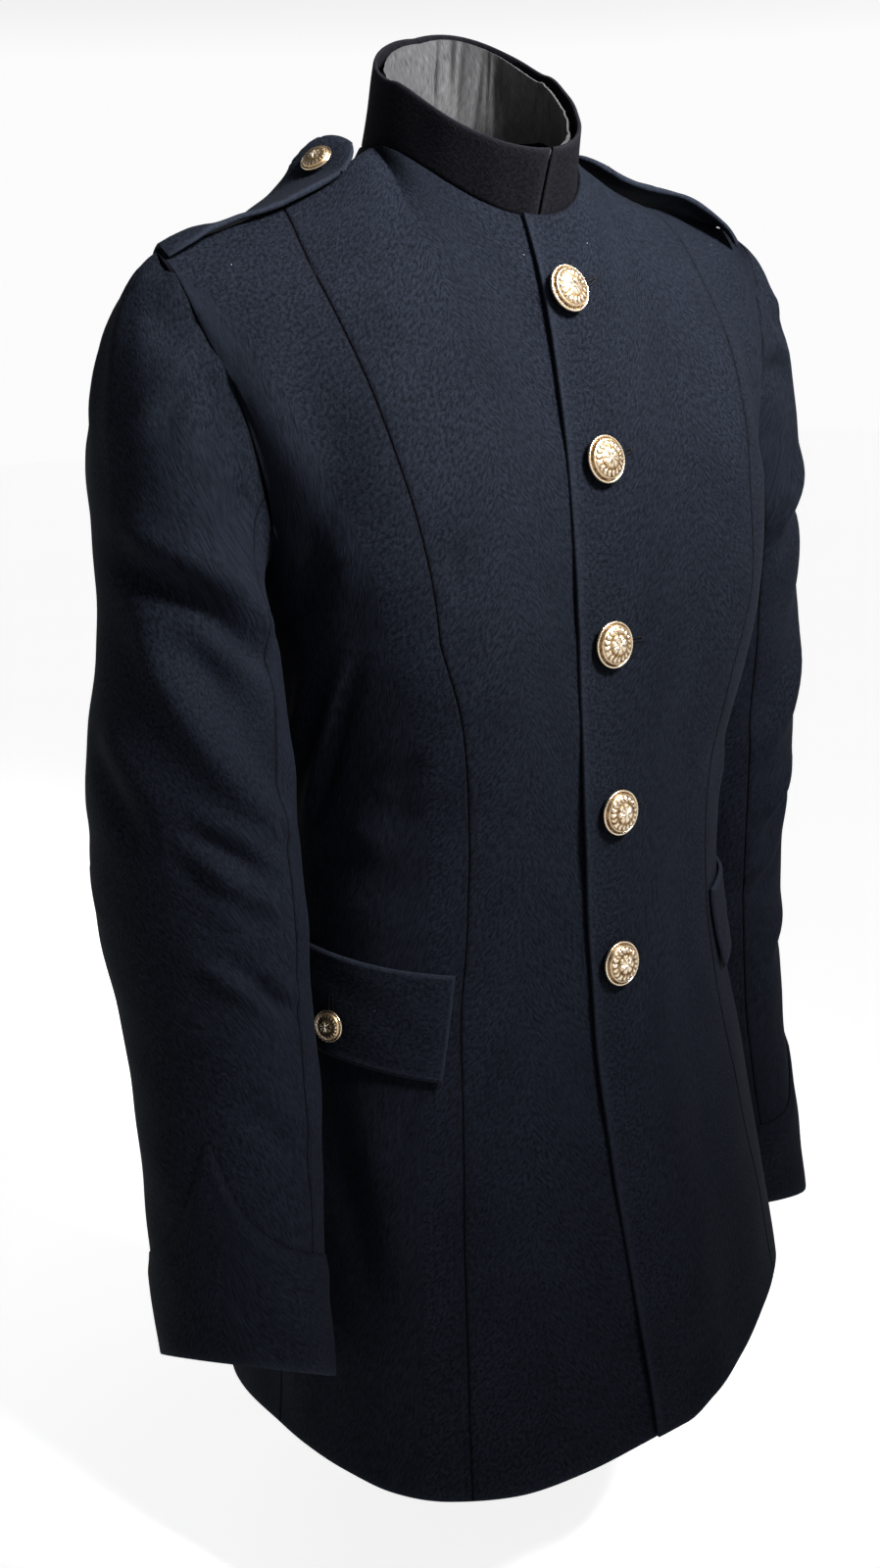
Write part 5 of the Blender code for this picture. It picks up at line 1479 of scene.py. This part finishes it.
def stitch_tree(name, thread):
    """Stitches set side by side along a path, each a bead of thread lying across it."""
    tree = bpy.data.node_groups.new(name, "GeometryNodeTree")
    tree.interface.new_socket("Path", in_out="INPUT", socket_type="NodeSocketGeometry")
    sizes = {}
    for label, value in STITCH_SIZES.items():
        socket = tree.interface.new_socket(label, in_out="INPUT", socket_type="NodeSocketFloat")
        socket.default_value = value
        sizes[label] = socket.identifier
    tree.interface.new_socket("Stitches", in_out="OUTPUT", socket_type="NodeSocketGeometry")
    given = add(tree, "NodeGroupInput")
    curve = add(tree, "GeometryNodeMeshToCurve", {"Mesh": given.outputs["Path"]})
    steps = {"Curve": curve.outputs[0], "Length": given.outputs["Spacing"]}
    points = add(tree, "GeometryNodeCurveToPoints", steps, mode="LENGTH")
    out = add(tree, "GeometryNodeInputNamedAttribute", {"Name": "out"}, data_type="FLOAT_VECTOR")
    facing = add(tree, "FunctionNodeAlignRotationToVector", {"Vector": out.outputs["Attribute"]}, axis="Z")
    laid = add(
        tree,
        "FunctionNodeAlignRotationToVector",
        {"Rotation": facing.outputs[0], "Vector": points.outputs["Tangent"]},
        axis="Y",
        pivot_axis="Z",
    )
    wobble = add(tree, "FunctionNodeRandomValue", data_type="FLOAT")
    wobble.inputs[2].default_value, wobble.inputs[3].default_value = STITCH_RANGE
    wobble.inputs["Seed"].default_value = STITCH_SEED
    half = reckon(tree, "MULTIPLY", given.outputs["Stitch length"], 0.5)
    length = reckon(tree, "MULTIPLY", half, wobble.outputs[1])
    thick = reckon(tree, "MULTIPLY", given.outputs["Thread"], 0.5)
    size = add(tree, "ShaderNodeCombineXYZ", {"X": length, "Y": thick, "Z": thick})
    bead = add(tree, "GeometryNodeMeshUVSphere", {"Segments": 6, "Rings": 5, "Radius": 1.0})
    copies = add(
        tree,
        "GeometryNodeInstanceOnPoints",
        {
            "Points": points.outputs["Points"],
            "Instance": bead.outputs["Mesh"],
            "Rotation": laid.outputs[0],
            "Scale": size.outputs[0],
        },
    )
    solid = add(tree, "GeometryNodeRealizeInstances", {"Geometry": copies.outputs[0]})
    round_shade = add(tree, "GeometryNodeSetShadeSmooth", {"Geometry": solid.outputs[0]})
    coloured = add(tree, "GeometryNodeSetMaterial", {"Geometry": round_shade.outputs[0], "Material": thread})
    result = add(tree, "NodeGroupOutput", {"Stitches": coloured.outputs[0]})
    result.is_active_output = True
    return tree, sizes


def stitched(name, paths, thread):
    """Thread worked along closed paths, as one plain mesh."""
    points, edges, ways = [], [], []
    for path, out in paths:
        first = len(points)
        points += path.tolist()
        ways += out.tolist()
        edges += [(first + i, first + (i + 1) % len(path)) for i in range(len(path))]
    mesh = bpy.data.meshes.new(name + "_path")
    mesh.from_pydata(points, edges, [])
    flat = np.array(ways, np.float32).reshape(-1)
    mesh.attributes.new("out", "FLOAT_VECTOR", "POINT").data.foreach_set("vector", flat)
    guide = in_scene(name + "_path", mesh)
    tree, sizes = stitch_tree(name + "_stitches", thread)
    worked = guide.modifiers.new("stitches", "NODES")
    worked.node_group = tree
    for label, value in STITCH_SIZES.items():
        worked[sizes[label]] = value
    graph = bpy.context.evaluated_depsgraph_get()
    made = bpy.data.meshes.new_from_object(guide.evaluated_get(graph), depsgraph=graph)
    made.name = name
    bpy.data.objects.remove(guide, do_unlink=True)
    piece = in_scene(name, made)
    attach(piece, "root")


def front_buttons(front, finish):
    """The five front buttons; returns the seats that their buttonholes lie beside."""
    line = read(front, np.full(len(front.rows), float(CENTRE)), front.rows)
    near = front.columns[front.columns <= 2 * CENTRE]
    seats = []
    for i, spot in enumerate(FRONT_BUTTONS):
        row = float(np.interp(-spot.z, -line[:, 2], front.rows))
        across = read(front, near, np.full(near.shape, row))[:, 0]
        column = float(np.interp(spot.x, across, near))
        seat, out, _, _ = seat_on(front, column, row)
        button(f"button_front_{i + 1}", seat, out, FRONT_BUTTON, finish, FRONT_SPIN * i)
        seats.append((column, row))
    return seats


def small_buttons(side, strap, flap, finish):
    """The strap's button and the flap's."""
    share = (1 - STRAP_BUTTON_FROM_END / STRAP_LENGTH) ** (1 / STRAP_END_CURVE)
    for name, surface, column, row in (
        ("strap", strap, 0.0, share),
        ("flap", flap, 0.5, FLAP_BUTTON_SHARE),
    ):
        seat, out, _, _ = seat_on(surface, column, row)
        seat, out = seat * side.flip, out * side.flip
        button(f"button_{name}_{side.name}", seat, out, SMALL_BUTTON, finish, SMALL_SPIN)


# Both sides are made as the wearer's left, and the right one is flipped across.
Side = namedtuple("Side", "name flip reach arm strap")
SIDES = (
    Side("left", np.array([1.0, 1.0, 1.0]), left_reach, LEFT_ARM, LEFT_STRAP),
    Side("right", np.array([-1.0, 1.0, 1.0]), right_reach, RIGHT_ARM, RIGHT_STRAP),
)


def dress_the_tunic():
    """All the pieces, side by side, then the collar, the front buttons and the buttonholes."""
    navy_dark, navy_light = (0.0017, 0.0021, 0.0035), (0.0053, 0.0068, 0.0107)
    black_dark, black_light = (0.0013, 0.0013, 0.0018), (0.0034, 0.0034, 0.0048)
    cloth = barathea("dress_barathea", navy_dark, navy_light, 0.005, (0.70, 0.78, 1.0))
    collar_cloth = barathea("collar_barathea", black_dark, black_light, 0.004, (0.8, 0.8, 0.9))
    band = satin()
    brass = gilt()
    thread = silk_thread("buttonhole_twist", (0.0012, 0.0014, 0.0020), (0.0062, 0.0068, 0.0086))
    holes = []
    fronts = {}
    for side in SIDES:
        plain = half_torso(side.reach, side.name)
        body = creased(uneven(plain, BODY_WAVES[side.name]), BODY_CREASES[side.name])
        for kind in BODY_PIECES:
            made = body_piece(side, kind, cut_out(body, kind.first, kind.last), cloth)
            if kind.name == "front":
                fronts[side.name] = made
        sleeve = sleeve_surface(side.arm, body, side.name)
        sleeve = creased(uneven(sleeve, SLEEVE_WAVES[side.name]), SLEEVE_CREASES[side.name])
        sleeve_pieces(side, sleeve, cloth)
        cuff_piece(side, sleeve, cloth)
        flap = flap_piece(side, body, cloth)
        small_buttons(side, strap_piece(side, plain, cloth), flap, brass)
        holes.append(hole_path(flap, 0.5, FLAP_BUTTON_SHARE, *FLAP_HOLE, True, side.flip))
    collar_pieces(collar_cloth, band)
    for column, row in front_buttons(fronts["left"], brass):
        holes.append(hole_path(fronts["left"], column, row, *FRONT_HOLE, False, np.ones(3)))
    stitched("buttonhole_thread", holes, thread)


# The photograph's camera, as fitted to it: turned round the tunic, then aimed by its own three angles.
CAMERA_TURN = radians(39.559)
CAMERA_DISTANCE = 1.015
CAMERA_HEIGHT = -0.113
CAMERA_YAW = radians(-1.937)
CAMERA_PITCH = radians(14.772)
CAMERA_ROLL = radians(-1.625)
FOCAL_PIXELS = 1787.7
CENTRE_PIXEL = (433.9, 851.5)
PHOTO_SIZE = (898, 1600)
SENSOR = 36.0


def place_camera():
    """The one camera, with the photograph's frame."""
    data = bpy.data.cameras.new("studio_camera")
    camera = in_scene("studio_camera", data)
    turn = CAMERA_TURN + CAMERA_YAW
    ahead = np.array([sin(turn) * cos(CAMERA_PITCH), cos(turn) * cos(CAMERA_PITCH), -sin(CAMERA_PITCH)])
    level = np.array([cos(turn), -sin(turn), 0.0])
    up = np.cross(level, ahead)
    right = level * cos(CAMERA_ROLL) + up * sin(CAMERA_ROLL)
    up = up * cos(CAMERA_ROLL) - level * sin(CAMERA_ROLL)
    where = (-CAMERA_DISTANCE * sin(CAMERA_TURN), -CAMERA_DISTANCE * cos(CAMERA_TURN), CAMERA_HEIGHT)
    camera.matrix_world = Matrix(
        [
            (right[0], up[0], -ahead[0], where[0]),
            (right[1], up[1], -ahead[1], where[1]),
            (right[2], up[2], -ahead[2], where[2]),
            (0, 0, 0, 1),
        ]
    )
    long_side = max(PHOTO_SIZE)
    data.sensor_fit = "AUTO"
    data.sensor_width = SENSOR
    data.lens = FOCAL_PIXELS * SENSOR / long_side
    data.shift_x = (PHOTO_SIZE[0] / 2 - CENTRE_PIXEL[0]) / long_side
    data.shift_y = (CENTRE_PIXEL[1] - PHOTO_SIZE[1] / 2) / long_side
    data.clip_start = 0.05
    data.clip_end = 50
    bpy.context.scene.camera = camera


FLOOR_Z = -0.800
FLOOR_REACH = 14.0
FLOOR_GLOW = 0.78
# Where the backdrop ends and the ceiling begins, on the sky's own height, and the glow of each.
BACKDROP = (0.16, 0.97)
CEILING = (0.42, 0.10)
Light = namedtuple("Light", "name where toward size power colour spread")
LIGHTS = (
    Light("key", (0.36, -1.00, 0.80), (0.02, -0.02, 0.04), (0.5, 0.4), 12.0, (1.0, 0.99, 0.97), 46),
    Light("top", (0.1, -0.5, 1.5), (0.0, 0.0, 0.0), (1.0, 0.8), 2.4, (1.0, 1.0, 1.0), 120),
)


def soft_light(kind):
    """A soft square light, aimed at a place."""
    data = bpy.data.lights.new(kind.name, "AREA")
    data.shape = "RECTANGLE"
    data.size, data.size_y = kind.size
    data.spread = radians(kind.spread)
    data.energy = kind.power
    data.color = kind.colour
    light = in_scene(kind.name, data)
    light.location = kind.where
    light.rotation_euler = (Vector(kind.toward) - Vector(kind.where)).to_track_quat("-Z", "Y").to_euler()


def studio():
    """A pale floor, a pale backdrop all round, a dimmer ceiling and two soft lights."""
    bpy.context.scene.view_settings.view_transform = "Standard"
    mesh = bpy.data.meshes.new("studio_floor")
    corners = ((-1, -1), (1, -1), (1, 1), (-1, 1))
    mesh.from_pydata([(x * FLOOR_REACH, y * FLOOR_REACH, FLOOR_Z) for x, y in corners], [], [(0, 1, 2, 3)])
    pale, tree, shader = new_material(
        "pale_floor", Roughness=0.9, Emission_Color=(1, 1, 1, 1), Emission_Strength=FLOOR_GLOW
    )
    grain = noise(tree, add(tree, "ShaderNodeTexCoord").outputs["Object"], 3.0, 2.0)
    plug(tree, shader.inputs["Base Color"], ramp(tree, grain, [(0.3, grey(0.86)), (0.7, grey(0.90))]))
    mesh.materials.append(pale)
    floor = in_scene("studio_floor", mesh)
    world = bpy.data.worlds.new("soft_studio")
    bpy.context.scene.world = world
    world.use_nodes = True
    tree = world.node_tree
    way = add(tree, "ShaderNodeTexCoord").outputs["Generated"]
    height = add(tree, "ShaderNodeSeparateXYZ", {"Vector": way}).outputs["Z"]
    glow = ramp(tree, height, [(place, grey(level)) for place, level in (BACKDROP, CEILING)])
    plug(tree, tree.nodes["Background"].inputs["Color"], glow)
    for kind in LIGHTS:
        soft_light(kind)


dress_the_tunic()
place_camera()
studio()
